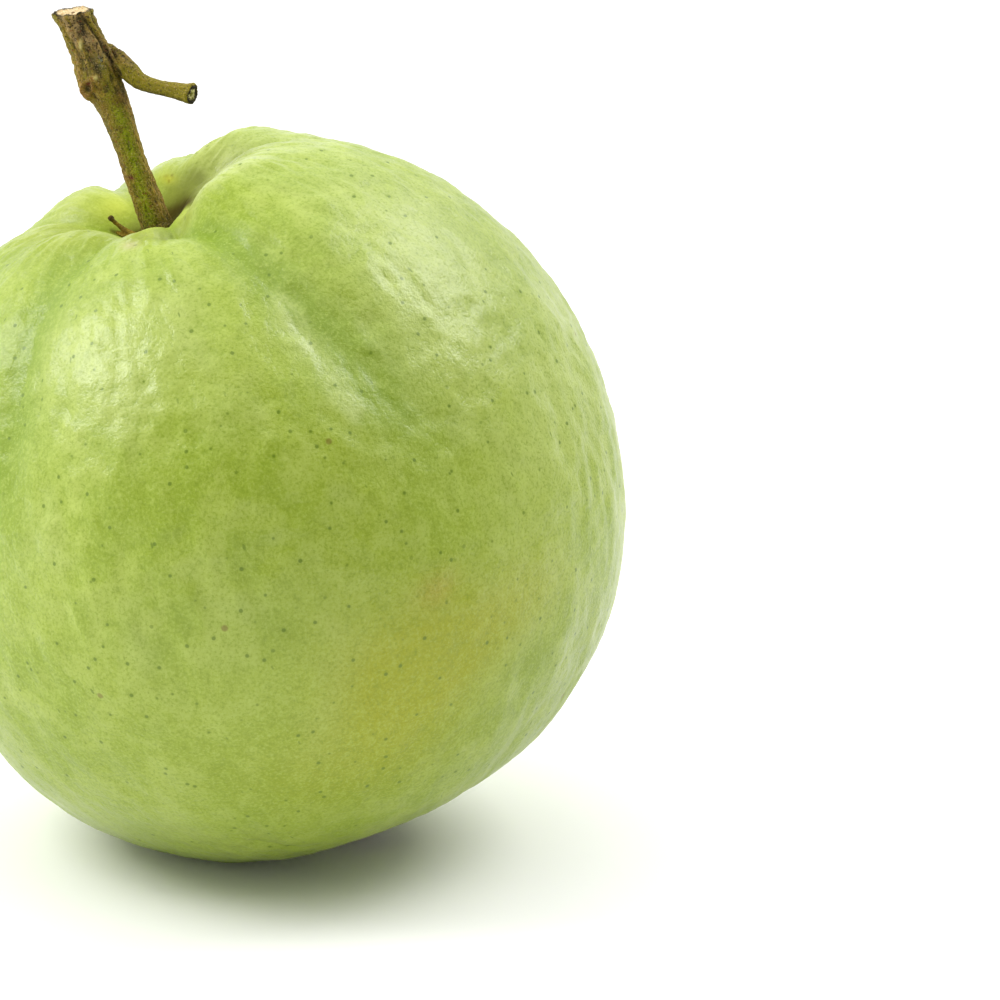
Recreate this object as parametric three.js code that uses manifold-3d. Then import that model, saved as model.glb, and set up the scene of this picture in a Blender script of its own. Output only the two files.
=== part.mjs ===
// A whole guava standing on the small flat spot of its underside, with its cut twig.
// Millimetres, +Z up. The origin is under the middle of the object's box, on the surface that it rests on.
// Seen from the front (along +Y) the fruit leans to the left and a little back: its core runs from
// the blossom end, low on the right, to the stem pit, high on the left.
import * as THREE from "three";
import { mergeVertices } from "three/addons/utils/BufferGeometryUtils.js";
import Module from "manifold-3d";

const wasm = await Module();
wasm.setup();

// ---------------------------------------------------------------- driving dimensions
const MEAN_RADIUS = 48.0; // of the fruit, before lobes, pit and basin
const LEAN_LEFT = 18.6; // degrees that the core leans to the left
const LEAN_BACK = 3.33; // degrees that the core leans away from the front
const FRONT_RISE = 16.0; // azimuth 0 faces this many degrees above the horizon
const REST_FLAT_DEPTH = 1.1; // how far the flat resting spot cuts into the round underside

// The fruit is a radial surface about its core: theta is the angle from the stem end, phi the azimuth,
// 0 at the front and positive to the right. Both are in degrees, lengths in mm.
// Smooth low-order terms of the shape, in the order that smoothTerms() lists them.
const SMOOTH = [-0.09, -1.438, 0.068, -0.34, -0.844, -0.451, 0.243, -0.76, 0.259, 0.249, 0.244, -0.003, -0.302, -0.053, 0.884, -0.147, -0.018, -0.275, 0.07, -0.604, 0.024];
// Furrows between the lobes: azimuth at theta 20 and at theta 90, half width at both (degrees),
// depth at the shoulder, on the flank and near the blossom end (mm).
const FURROWS = [
  [8, 28, 13, 12, 2.6, 1.9, 0.5, 7],
  [-27, -38, 13, 12, 2, 1.7, 0.4, -8.5],
  [-112, -104, 13, 14, 2.6, 1, 0.4],
  [-160, -156, 13, 14, 2.6, 0.9, 0.4],
  [152, 152, 10, 14, 1.2, 0.9, 0.4],
  [99, 105, 13, 15, 3.4, 1.2, 0.4],
  [-72, -72, 11, 12, 0.8, 0.5, 0.4],
  [62, 64, 11, 12, 0.3, 0.5, 0.4],
];
// Stem cavity: a wide bowl and a steeper pit in it, off the core by CAVITY_OFFSET degrees (front, right).
const CAVITY = { depth: 9, spread: 12.5, power: 1.9 };
const CAVITY_OFFSET = [0.8, -3.4];
const PIT = { depth: 3.6, spread: 9.2, power: 4 };
// The front shoulder stands lower than the back one.
const FRONT_SHOULDER = { depth: 2.2, theta: 19, spread: 14, phi: -10, width: 60 };
// Low swells and hollows that shape the rim of the stem cavity: theta, phi, height (mm), spread (degrees).
const RIM_LUMPS = [
  [7.5, -180, 0.36, 3.8], [7.5, -60, -0.11, 3.8], [7.5, 0, 0.27, 3.8], [7.5, 60, -0.25, 3.8],
  [7.5, 120, -1.21, 3.8], [12, -180, -0.32, 4.6], [12, -144, -0.24, 4.6], [12, -108, 0.14, 4.6],
  [12, -72, 0.18, 4.6], [12, 0, 0.43, 4.6], [12, 36, -3.29, 4.6], [12, 72, -1.37, 4.6], [12, 108, -3.5, 4.6],
  [12, 144, 0.19, 4.6], [17, -180, -0.59, 5.5], [17, -150, 0.74, 5.5], [17, -60, 0.27, 5.5],
  [17, -30, 0.8, 5.5], [17, 0, -1.75, 5.5], [17, 30, 0.61, 5.5], [17, 60, -0.26, 5.5], [17, 90, -0.41, 5.5],
  [17, 120, -0.1, 5.5], [17, 150, -0.48, 5.5], [22, -180, -0.32, 5.5], [22, -154.3, 1.1, 5.5],
  [22, -128.6, -0.19, 5.5], [22, -51.4, 0.12, 5.5], [22, -25.7, 0.87, 5.5], [22, 0, -0.49, 5.5],
  [22, 25.7, 0.42, 5.5], [22, 51.4, 0.41, 5.5], [22, 77.1, -0.15, 5.5], [22, 128.6, 0.53, 5.5],
  [22, 154.3, 0.14, 5.5], [29, -157.5, 0.51, 7.5], [29, -135, -0.44, 7.5], [29, -112.5, -0.27, 7.5],
  [29, -22.5, 0.18, 7.5], [29, 45, 0.17, 7.5], [29, 67.5, 0.13, 7.5], [29, 90, 0.25, 7.5],
  [29, 112.5, -0.11, 7.5], [29, 135, 0.24, 7.5], [37, 102.9, -0.35, 7.5], [37, 128.6, -0.24, 7.5],
];
// Blossom-end basin.
const BASIN = { depth: 5.2, spread: 14.5, power: 1.9 };

const TOUCH_GAP = 0.34; // between pieces that touch

// Peduncle and the woody twig that it grows from, one grown piece: x, y, z of the middle line from the
// fruit's centre, and the radius there.
const TWIG_LINE = [
  [-12.86, 1.42, 36.09, 2.32],
  [-13.08, 1.45, 36.52, 2.13],
  [-13.23, 1.48, 37.10, 2.04],
  [-14.04, 1.61, 39.34, 1.96],
  [-15.29, 1.81, 42.77, 1.83],
  [-16.16, 1.95, 45.26, 1.75],
  [-16.91, 2.10, 47.76, 1.84],
  [-17.90, 2.27, 50.77, 2.02],
  [-18.89, 2.42, 53.25, 2.27],
  [-19.77, 2.51, 54.82, 2.60],
  [-20.40, 2.58, 56.12, 2.79],
  [-20.76, 2.67, 57.69, 2.66],
  [-21.38, 2.78, 59.51, 2.43],
  [-22.44, 2.92, 61.85, 2.37],
  [-23.31, 3.02, 63.66, 2.30],
  [-23.86, 3.11, 65.04, 2.32],
  [-24.16, 3.16, 65.84, 2.34],
];
// The twig's top is cut off almost level: a point of the cut and its upward normal.
const TOP_CUT = { at: [-23.55, 3.07, 64.5], normal: [-0.10, -0.04, 1] };
// Cut stalk that forks off to the right at the node.
const FORK_LINE = [
  [-19.70, 2.76, 59.25, 1.30],
  [-18.13, 2.35, 58.27, 1.49],
  [-16.44, 1.93, 57.04, 1.36],
  [-15.14, 1.50, 55.87, 1.17],
  [-13.82, 1.11, 55.29, 1.04],
  [-12.38, 0.74, 54.97, 0.97],
  [-10.93, 0.37, 54.78, 1.04],
  [-9.62, 0.01, 54.59, 1.16],
  [-8.56, -0.36, 54.40, 1.29],
  [-7.83, -0.72, 54.30, 1.29],
];
// Bud scar on the left of the node: centre and half sizes.
const BUD_SCAR = { at: [-21.45, 1.4, 54.5], half: [1.15, 1.1, 1.35] };

// One dried bracteole left standing in the pit, on the left of the peduncle: middle line and radius.
const BRACTEOLE_LINE = [
  [-16.4, 4.0, 34.68, 0.4],
  [-17.15, 4.2, 35.1, 0.46],
  [-17.95, 4.38, 35.6, 0.36],
  [-18.8, 4.5, 36.22, 0.28],
  [-19.5, 4.6, 36.88, 0.33],
];
const BRACTEOLE_FLATNESS = 0.62;

// Dried calyx in the basin: a low disc with five short lobes round it.
const CALYX_DISC = { radius: 4.3, thickness: 0.9 };
const SEPALS = 5;
const SEPAL = { ring: 5.4, length: 3.5, width: 5.6, thickness: 0.6, spread: 12, curl: 70 };
const SEPAL_LENGTHS = [0.85, 0.92, 1.08, 1.0, 0.8]; // the lobes dry to uneven lengths
const SEPAL_PHI = -90; // azimuth of the first one

// ---------------------------------------------------------------- the fruit's own axes
const rad = THREE.MathUtils.degToRad;
const deg = THREE.MathUtils.radToDeg;
const CORE = new THREE.Vector3(-Math.tan(rad(LEAN_LEFT)), Math.tan(rad(LEAN_BACK)), 1).normalize();
const FRONT = new THREE.Vector3(0, -Math.cos(rad(FRONT_RISE)), Math.sin(rad(FRONT_RISE)));
FRONT.addScaledVector(CORE, -FRONT.dot(CORE)).normalize();
const RIGHT = new THREE.Vector3().crossVectors(CORE, FRONT);

const smoothstep = (a, b, x) => THREE.MathUtils.smoothstep(x, a, b);
const wrap = (d) => ((((d + 180) % 360) + 360) % 360) - 180;

function smoothTerms(x, y, z) {
  return [
    1, x, y, z,
    x * y, x * z, y * z, x * x - y * y, 3 * z * z - 1,
    z * (5 * z * z - 3), x * (5 * z * z - 1), y * (5 * z * z - 1), z * (x * x - y * y), x * y * z,
    x * (x * x - 3 * y * y), y * (3 * x * x - y * y),
    35 * z ** 4 - 30 * z * z + 3, x * z * (7 * z * z - 3), y * z * (7 * z * z - 3),
    (x * x - y * y) * (7 * z * z - 1), x * y * (7 * z * z - 1),
  ];
}

// Radius of the skin in a direction given by theta and phi in degrees.
function skinRadius(theta, phi) {
  const t = rad(theta), p = rad(phi);
  const n = smoothTerms(Math.sin(t) * Math.cos(p), Math.sin(t) * Math.sin(p), Math.cos(t));
  let r = MEAN_RADIUS;
  for (let i = 0; i < n.length; i++) r += SMOOTH[i] * n[i];
  for (const [phi20, phi90, w20, w90, top, mid, low, bend = 0] of FURROWS) {
    const k = THREE.MathUtils.clamp((theta - 20) / 70, 0, 1.6);
    const w = w20 + (w90 - w20) * Math.min(k, 1);
    const line = phi20 + (phi90 - phi20) * k + bend * smoothstep(18, 32, theta);
    const across = Math.exp(-((Math.abs(wrap(phi - line)) / w) ** 1.7));
    const along =
      top * Math.exp(-(((theta - 16) / 17) ** 2)) +
      mid * Math.exp(-(((theta - 55) / 26) ** 2)) +
      low * Math.exp(-(((theta - 140) / 26) ** 2));
    r -= along * across * smoothstep(3, 15, theta) * (1 - smoothstep(162, 176, theta));
  }
  const off = Math.hypot(theta * Math.cos(p) - CAVITY_OFFSET[0], theta * Math.sin(p) - CAVITY_OFFSET[1]);
  r -= CAVITY.depth * Math.exp(-((off / CAVITY.spread) ** CAVITY.power));
  r -= PIT.depth * Math.exp(-((off / PIT.spread) ** PIT.power));
  r -=
    FRONT_SHOULDER.depth *
    Math.exp(-(((theta - FRONT_SHOULDER.theta) / FRONT_SHOULDER.spread) ** 2)) *
    Math.exp(-((Math.abs(wrap(phi - FRONT_SHOULDER.phi)) / FRONT_SHOULDER.width) ** 2)) *
    smoothstep(2, 12, theta);
  r -= BASIN.depth * Math.exp(-(((180 - theta) / BASIN.spread) ** BASIN.power));
  if (theta < 70) {
    for (const [lumpTheta, lumpPhi, height, spread] of RIM_LUMPS) {
      const c = Math.cos(t) * Math.cos(rad(lumpTheta)) + Math.sin(t) * Math.sin(rad(lumpTheta)) * Math.cos(p - rad(lumpPhi));
      r += height * Math.exp(-((deg(Math.acos(THREE.MathUtils.clamp(c, -1, 1))) / spread) ** 2));
    }
  }
  return r;
}

// A point at a height above the skin, in the frame with the fruit's centre at 0.
function onSkin(theta, phi, above = 0) {
  const t = rad(theta), p = rad(phi), r = skinRadius(theta, phi) + above;
  return new THREE.Vector3()
    .addScaledVector(FRONT, r * Math.sin(t) * Math.cos(p))
    .addScaledVector(RIGHT, r * Math.sin(t) * Math.sin(p))
    .addScaledVector(CORE, r * Math.cos(t));
}

// ---------------------------------------------------------------- helpers
// A geometry with shared vertices: only its positions are kept.
function welded(geometry) {
  const g = geometry.clone();
  for (const name of Object.keys(g.attributes)) if (name !== "position") g.deleteAttribute(name);
  return mergeVertices(g, 1e-4);
}

// Moves every vertex of a geometry by a function of its position.
function reshape(geometry, move) {
  const g = welded(geometry), pos = g.getAttribute("position"), v = new THREE.Vector3();
  for (let i = 0; i < pos.count; i++) {
    v.fromBufferAttribute(pos, i);
    move(v);
    pos.setXYZ(i, v.x, v.y, v.z);
  }
  return welded(g);
}

function solid(geometry) {
  const g = welded(geometry);
  const made = new wasm.Manifold(
    new wasm.Mesh({
      numProp: 3,
      vertProperties: new Float32Array(g.getAttribute("position").array),
      triVerts: new Uint32Array(g.index.array),
    }),
  );
  return made;
}

function geometryOf(manifold) {
  const m = manifold.getMesh();
  const v = new Float32Array(m.numVert * 3);
  for (let i = 0; i < m.numVert; i++)
    v.set(m.vertProperties.subarray(i * m.numProp, i * m.numProp + 3), i * 3);
  const g = new THREE.BufferGeometry();
  g.setAttribute("position", new THREE.BufferAttribute(v, 3));
  g.setIndex(new THREE.BufferAttribute(new Uint32Array(m.triVerts), 1));
  g.computeVertexNormals();
  return g;
}

// A round bar along a line of [x, y, z, radius], with closed ends.
function bar(line, sides, rows, flatness = 1) {
  const curve = new THREE.CatmullRomCurve3(line.map(([x, y, z]) => new THREE.Vector3(x, y, z)));
  const across = new THREE.Vector3(0, 1, 0);
  return reshape(new THREE.CylinderGeometry(1, 1, 1, sides, rows), (v) => {
    const t = THREE.MathUtils.clamp(v.y + 0.5, 0, 1);
    const k = t * (line.length - 1), i = Math.min(Math.floor(k), line.length - 2);
    const r = THREE.MathUtils.lerp(line[i][3], line[i + 1][3], k - i);
    const c = curve.getPoint(t), tangent = curve.getTangent(t);
    const side = new THREE.Vector3().crossVectors(across, tangent).normalize();
    const depth = new THREE.Vector3().crossVectors(side, tangent).normalize();
    c.addScaledVector(side, r * v.x).addScaledVector(depth, r * v.z * flatness);
    v.copy(c);
  });
}

function material(color, roughness) {
  return new THREE.MeshStandardMaterial({ color, roughness, metalness: 0 });
}
const skin = material(0xaac46a, 0.42);
const bark = material(0x7d7038, 0.85);
const dried = material(0x5d4226, 0.9);

function piece(name, geometry, mat) {
  const mesh = new THREE.Mesh(geometry, mat);
  mesh.name = name;
  return mesh;
}

// ---------------------------------------------------------------- fruit
// Rows of vertices lie closer together in the stem cavity and in the basin.
const ROWS = [[0, 0], [0.28, 26], [0.82, 152], [1, 180]];
function rowTheta(u) {
  for (let i = 1; i < ROWS.length; i++)
    if (u <= ROWS[i][0] + 1e-9) {
      const k = (u - ROWS[i - 1][0]) / (ROWS[i][0] - ROWS[i - 1][0]);
      return ROWS[i - 1][1] + k * (ROWS[i][1] - ROWS[i - 1][1]);
    }
  return 180;
}
const roundFruit = reshape(new THREE.SphereGeometry(1, 66, 50), (v) => {
  const theta = rowTheta(Math.acos(THREE.MathUtils.clamp(v.y, -1, 1)) / Math.PI);
  const phi = Math.hypot(v.x, v.z) < 1e-9 ? 0 : deg(Math.atan2(-v.z, v.x));
  v.copy(onSkin(theta, phi));
});
roundFruit.computeBoundingBox();
const restZ = roundFruit.boundingBox.min.z + REST_FLAT_DEPTH;
const below = new THREE.BoxGeometry(80, 80, 20);
below.translate(0, 0, restZ - 10);
const fruitSolid = solid(roundFruit).subtract(solid(below));
const fruit = piece("fruit", geometryOf(fruitSolid), skin);

// ---------------------------------------------------------------- twig with the peduncle
const scar = new THREE.SphereGeometry(1, 12, 8);
scar.scale(...BUD_SCAR.half);
scar.translate(...BUD_SCAR.at);
const up = new THREE.Vector3(...TOP_CUT.normal).normalize();
const twigSolid = solid(bar(TWIG_LINE, 16, 30))
  .trimByPlane(up.clone().negate().toArray(), -up.dot(new THREE.Vector3(...TOP_CUT.at)))
  .add(solid(bar(FORK_LINE, 12, 16)))
  .add(solid(scar));
const twig = piece("twig", geometryOf(twigSolid), bark);

// ---------------------------------------------------------------- bracteole in the pit
const bracteole = piece("bracteole", bar(BRACTEOLE_LINE, 8, 8, BRACTEOLE_FLATNESS), dried);
bracteole.geometry.computeVertexNormals();

// ---------------------------------------------------------------- dried calyx in the blossom-end basin
const calyx = new THREE.Group();
const MM_TO_DEG = deg(1 / (MEAN_RADIUS - BASIN.depth)); // along the basin's floor
const discShape = reshape(new THREE.CylinderGeometry(1, 1, 1, 30, 1), (v) => {
  const out = Math.hypot(v.x, v.z), phi = out < 1e-9 ? 0 : deg(Math.atan2(v.z, v.x));
  const above = TOUCH_GAP + (v.y > 0 ? CALYX_DISC.thickness : 0);
  v.copy(onSkin(180 - out * CALYX_DISC.radius * MM_TO_DEG, phi, above));
});
discShape.computeVertexNormals();
calyx.add(piece("calyx_disc", discShape, dried));

for (let i = 0; i < SEPALS; i++) {
  const phi = SEPAL_PHI + (360 / SEPALS) * i;
  const length = SEPAL.length * SEPAL_LENGTHS[i];
  const foot = onSkin(180 - SEPAL.ring * MM_TO_DEG, phi, TOUCH_GAP + 0.25);
  const down = CORE.clone().negate();
  const outward = foot.clone().addScaledVector(CORE, -foot.dot(CORE)).normalize();
  const along = new THREE.Vector3().crossVectors(down, outward);
  // A blade that leaves the basin leaning outwards and curls in over the disc at its tip.
  const blade = reshape(new THREE.BoxGeometry(1, 1, 1, 6, 7, 1), (v) => {
    const s = v.y + 0.5, x = v.x * 2;
    const half = (SEPAL.width / 2) * (1 - 0.78 * s ** 1.8);
    const lean = rad(SEPAL.spread - SEPAL.curl * s);
    const mean = rad(SEPAL.spread - (SEPAL.curl * s) / 2);
    const rise = s * length * Math.cos(mean), reach = s * length * Math.sin(mean);
    // the blade follows the ring across its width
    const cup = (x * half) ** 2 / (2 * (SEPAL.ring + reach));
    const thick = v.z * SEPAL.thickness * (1 - 0.35 * s);
    v.copy(foot)
      .addScaledVector(down, rise - thick * Math.sin(lean))
      .addScaledVector(outward, reach - cup + thick * Math.cos(lean))
      .addScaledVector(along, x * half);
  });
  blade.computeVertexNormals();
  calyx.add(piece("sepal_" + (i + 1), blade, dried));
}

// ---------------------------------------------------------------- the whole object
const guava = new THREE.Group();
guava.add(fruit, twig, bracteole, calyx);
const box = new THREE.Box3().setFromObject(guava);
guava.position.set(-(box.min.x + box.max.x) / 2, -(box.min.y + box.max.y) / 2, -restZ);

export default guava;
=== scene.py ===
import math
import bpy
import numpy as np
from mathutils import Matrix, Vector


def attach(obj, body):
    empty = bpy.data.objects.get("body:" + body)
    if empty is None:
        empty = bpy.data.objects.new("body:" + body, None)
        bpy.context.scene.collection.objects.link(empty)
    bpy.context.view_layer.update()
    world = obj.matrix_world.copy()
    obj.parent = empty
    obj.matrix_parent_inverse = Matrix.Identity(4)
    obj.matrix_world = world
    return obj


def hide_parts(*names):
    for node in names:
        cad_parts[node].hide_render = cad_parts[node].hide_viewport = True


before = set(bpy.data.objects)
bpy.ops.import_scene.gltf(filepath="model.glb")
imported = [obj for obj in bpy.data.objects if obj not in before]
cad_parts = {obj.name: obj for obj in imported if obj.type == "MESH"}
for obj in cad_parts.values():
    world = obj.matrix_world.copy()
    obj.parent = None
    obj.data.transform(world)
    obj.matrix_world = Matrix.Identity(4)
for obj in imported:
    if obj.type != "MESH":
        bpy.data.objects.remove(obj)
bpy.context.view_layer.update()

# ------------------------------------------------------------------ where the fruit's centre is
# Shapes below are in millimetres from the fruit's centre; CENTRE (mm) carries them to the part's frame.
CENTRE = np.array([-0.433039, -0.714554, 47.006693])
MM = 0.001

rad = math.radians


def sstep(a, b, x):
    t = np.clip((x - a) / (b - a), 0, 1)
    return t * t * (3 - 2 * t)


def wrap(d):
    return (d + 180.0) % 360.0 - 180.0


def unit(v):
    v = np.asarray(v, float)
    return v / np.linalg.norm(v, axis=-1, keepdims=True)


# ------------------------------------------------------------------ looks: albedo colours (sRGB), light
def lin(r, g, b):
    def f(c):
        c = c / 255.0
        return c / 12.92 if c <= 0.04045 else ((c + 0.055) / 1.055) ** 2.4
    return (f(r), f(g), f(b), 1.0)


SKIN_A = lin(150, 168, 58)
SKIN_B = lin(141, 161, 48)
SKIN_C = lin(156, 173, 70)
SKIN_BLOOM = lin(166, 180, 98)
SKIN_PAINTED_SHADE = lin(118, 140, 10)
SKIN_PAINTED_SHEEN = lin(186, 198, 126)
SKIN_LIGHT = lin(174, 190, 92)
SKIN_DARK = lin(122, 144, 34)
SKIN_FURROW_AND_SHADE = lin(106, 134, 8)
SKIN_YELLOW_TINT = lin(153, 157, 0)
SKIN_DOT = lin(82, 108, 8)
SKIN_PITWALL = lin(164, 170, 72)
SKIN_PITSHADE = lin(118, 126, 44)
SKIN_BROWN = lin(70, 62, 0)
SKIN_PINK = lin(168, 156, 108)
ROUGH = (0.30, 0.50)
COAT = (0.34, 0.17)
BARK_BROWN = lin(132, 104, 34)
BARK_OLIVE = lin(112, 104, 10)
BARK_GREY = lin(140, 118, 74)
BARK_TAN = lin(166, 138, 56)
BARK_GREEN = lin(132, 142, 0)
BARK_FORK = lin(128, 118, 12)
BARK_BLUE = lin(98, 108, 88)
BARK_DARK = lin(40, 34, 12)
BARK_SPECK = lin(172, 148, 98)
BARK_RUST = lin(126, 72, 40)
BARK_RED = lin(96, 32, 24)
CUT_A = lin(196, 166, 112)
CUT_B = lin(226, 206, 164)
FLOOR = 0.93
WORLD = 1.31
SOFT = (1.75, 1.35)
CARD = (0.06, 1.1)

# ------------------------------------------------------------------ camera
VIEW_RISE = rad(16.0)
PX = 0.1325          # mm per pixel at the fruit's centre
DIST = 650.0         # mm from the camera to the fruit's centre
FOCAL = DIST / PX    # pixels
C_X, C_Y = 260.0, 497.0
cr = np.array([1.0, 0, 0])
cu = np.array([0, math.sin(VIEW_RISE), math.cos(VIEW_RISE)])
cf = np.array([0, math.cos(VIEW_RISE), -math.sin(VIEW_RISE)])
eye = -DIST * (cf + ((C_X - 500) / FOCAL) * cr + ((500 - C_Y) / FOCAL) * cu)


def ray(px, py):
    return eye, unit(cf + ((px - 500) / FOCAL) * cr + ((500 - py) / FOCAL) * cu)


cam_data = bpy.data.cameras.new("camera")
cam_data.sensor_width = 36.0
cam_data.lens = 36.0 * FOCAL / 1000.0
cam_data.clip_start, cam_data.clip_end = 0.05, 20.0
cam = bpy.data.objects.new("camera", cam_data)
bpy.context.scene.collection.objects.link(cam)
ep = (eye + CENTRE) * MM
cam.matrix_world = Matrix((
    (cr[0], cu[0], -cf[0], ep[0]),
    (cr[1], cu[1], -cf[1], ep[1]),
    (cr[2], cu[2], -cf[2], ep[2]),
    (0, 0, 0, 1)))
bpy.context.scene.camera = cam

# ------------------------------------------------------------------ the fruit's own axes and radial shape
core = unit([-math.tan(rad(18.6)), math.tan(rad(3.33)), 1.0])
front = np.array([0, -math.cos(rad(16.0)), math.sin(rad(16.0))])
front = unit(front - (front @ core) * core)
right = np.cross(core, front)

MEAN_RADIUS = 48.0
SMOOTH = np.array([-0.09, -1.438, 0.068, -0.34, -0.844, -0.451, 0.243, -0.76, 0.259, 0.249, 0.244, -0.003, -0.302, -0.053,
                   0.884, -0.147, -0.018, -0.275, 0.07, -0.604, 0.024])
FURROWS = [
    (8, 28, 13, 12, 2.6, 1.9, 0.5, 7), (-27, -38, 13, 12, 2, 1.7, 0.4, -8.5), (-112, -104, 13, 14, 2.6, 1, 0.4, 0),
    (-160, -156, 13, 14, 2.6, 0.9, 0.4, 0), (152, 152, 10, 14, 1.2, 0.9, 0.4, 0), (99, 105, 13, 15, 3.4, 1.2, 0.4, 0),
    (-72, -72, 11, 12, 0.8, 0.5, 0.4, 0), (62, 64, 11, 12, 0.3, 0.5, 0.4, 0)]
CAVITY = (9.0, 12.5, 1.9, 0.8, -3.4)
PIT = (3.6, 9.2, 4.0)
SHOULDER = (2.2, 19.0, 14.0, -10.0, 60.0)
BASIN = (5.2, 14.5, 1.9)
# swells and hollows that shape the rim of the stem cavity: theta, phi, height (mm), spread (degrees)
RIM_LUMPS = np.array([
    [7.5, -180, 0.36, 3.8], [7.5, -60, -0.11, 3.8], [7.5, 0, 0.27, 3.8], [7.5, 60, -0.25, 3.8],
    [7.5, 120, -1.21, 3.8], [12, -180, -0.32, 4.6], [12, -144, -0.24, 4.6], [12, -108, 0.14, 4.6],
    [12, -72, 0.18, 4.6], [12, 0, 0.43, 4.6], [12, 36, -3.29, 4.6], [12, 72, -1.37, 4.6], [12, 108, -3.5, 4.6],
    [12, 144, 0.19, 4.6], [17, -180, -0.59, 5.5], [17, -150, 0.74, 5.5], [17, -60, 0.27, 5.5],
    [17, -30, 0.8, 5.5], [17, 0, -1.75, 5.5], [17, 30, 0.61, 5.5], [17, 60, -0.26, 5.5], [17, 90, -0.41, 5.5],
    [17, 120, -0.1, 5.5], [17, 150, -0.48, 5.5], [22, -180, -0.32, 5.5], [22, -154.3, 1.1, 5.5],
    [22, -128.6, -0.19, 5.5], [22, -51.4, 0.12, 5.5], [22, -25.7, 0.87, 5.5], [22, 0, -0.49, 5.5],
    [22, 25.7, 0.42, 5.5], [22, 51.4, 0.41, 5.5], [22, 77.1, -0.15, 5.5], [22, 128.6, 0.53, 5.5],
    [22, 154.3, 0.14, 5.5], [29, -157.5, 0.51, 7.5], [29, -135, -0.44, 7.5], [29, -112.5, -0.27, 7.5],
    [29, -22.5, 0.18, 7.5], [29, 45, 0.17, 7.5], [29, 67.5, 0.13, 7.5], [29, 90, 0.25, 7.5],
    [29, 112.5, -0.11, 7.5], [29, 135, 0.24, 7.5], [37, 102.9, -0.35, 7.5], [37, 128.6, -0.24, 7.5],
], float)
REST_Z = -CENTRE[2]   # the resting surface, from the fruit's centre


def terms(x, y, z):
    return np.stack([
        np.ones_like(x), x, y, z, x * y, x * z, y * z, x * x - y * y, 3 * z * z - 1,
        z * (5 * z * z - 3), x * (5 * z * z - 1), y * (5 * z * z - 1), z * (x * x - y * y), x * y * z,
        x * (x * x - 3 * y * y), y * (3 * x * x - y * y),
        35 * z ** 4 - 30 * z * z + 3, x * z * (7 * z * z - 3), y * z * (7 * z * z - 3),
        (x * x - y * y) * (7 * z * z - 1), x * y * (7 * z * z - 1)], -1)


def furrows(th, ph):
    """Depth of the furrows in mm, and how strongly a place lies in one (0 to 1)."""
    depth = np.zeros_like(th)
    mask = np.zeros_like(th)
    for p20, p90, w20, w90, dt, dm, db, bend in FURROWS:
        k = np.clip((th - 20.0) / 70.0, 0, 1.6)
        w = w20 + (w90 - w20) * np.clip(k, 0, 1)
        d = np.abs(wrap(ph - p20 - (p90 - p20) * k - bend * sstep(18, 32, th))) / w
        g = np.exp(-d ** 1.7)
        e = dt * np.exp(-((th - 16) / 17.0) ** 2) + dm * np.exp(-((th - 55) / 26.0) ** 2) + db * np.exp(-((th - 140) / 26.0) ** 2)
        e = e * sstep(3, 15, th) * (1 - sstep(162, 176, th))
        depth += e * g
        mask = np.maximum(mask, np.exp(-(d * 1.7) ** 2.0) * np.clip(e / 2.0, 0, 1))
    return depth, mask


def off_cavity(th, ph):
    p = np.radians(ph)
    return np.hypot(th * np.cos(p) - CAVITY[3], th * np.sin(p) - CAVITY[4])


def skin_radius(th, ph):
    t, p = np.radians(th), np.radians(ph)
    r = MEAN_RADIUS + terms(np.sin(t) * np.cos(p), np.sin(t) * np.sin(p), np.cos(t)) @ SMOOTH
    r = r - furrows(th, ph)[0]
    off = off_cavity(th, ph)
    r = r - CAVITY[0] * np.exp(-(off / CAVITY[1]) ** CAVITY[2])
    r = r - PIT[0] * np.exp(-(off / PIT[1]) ** PIT[2])
    r = r - SHOULDER[0] * np.exp(-((th - SHOULDER[1]) / SHOULDER[2]) ** 2) \
        * np.exp(-(np.abs(wrap(ph - SHOULDER[3])) / SHOULDER[4]) ** 2) * sstep(2, 12, th)
    r = r - BASIN[0] * np.exp(-((180 - th) / BASIN[1]) ** BASIN[2])
    for lt, lp, height, spread in RIM_LUMPS:
        c = np.cos(t) * math.cos(rad(lt)) + np.sin(t) * math.sin(rad(lt)) * np.cos(p - rad(lp))
        r = r + np.where(th < 70, height * np.exp(-(np.degrees(np.arccos(np.clip(c, -1, 1))) / spread) ** 2), 0.0)
    return r


def place(th, ph, r):
    t, p = np.radians(th), np.radians(ph)
    return ((r * np.sin(t) * np.cos(p))[..., None] * front
            + (r * np.sin(t) * np.sin(p))[..., None] * right
            + (r * np.cos(t))[..., None] * core)


def body_coords(P):
    x, y, z = P @ front, P @ right, P @ core
    R = np.linalg.norm(P, axis=-1)
    return R, np.degrees(np.arccos(np.clip(z / R, -1, 1))), np.degrees(np.arctan2(y, x))


def skin_hit(px, py):
    """Where a pixel of the photograph's frame meets the skin: point, theta, phi."""
    o, d = ray(px, py)
    ts = np.linspace(590, 660, 2801)
    P = o + ts[:, None] * d
    R, th, ph = body_coords(P)
    inside = R < skin_radius(th, ph)
    k = int(np.argmax(inside)) if inside.any() else int(np.argmin(R))
    return P[k], th[k], ph[k]


# ------------------------------------------------------------------ noise and mesh helpers
def _hash(ix, iy, iz, seed):
    h = (ix * 374761393 + iy * 668265263 + iz * 2147483647 + seed * 1274126177) & 0xFFFFFFFF
    h = ((h ^ (h >> 13)) * 1274126177) & 0xFFFFFFFF
    h = ((h ^ (h >> 16)) * 2246822519) & 0xFFFFFFFF
    return ((h ^ (h >> 15)) & 0xFFFFFF) / float(0x7FFFFF) - 1.0


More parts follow.
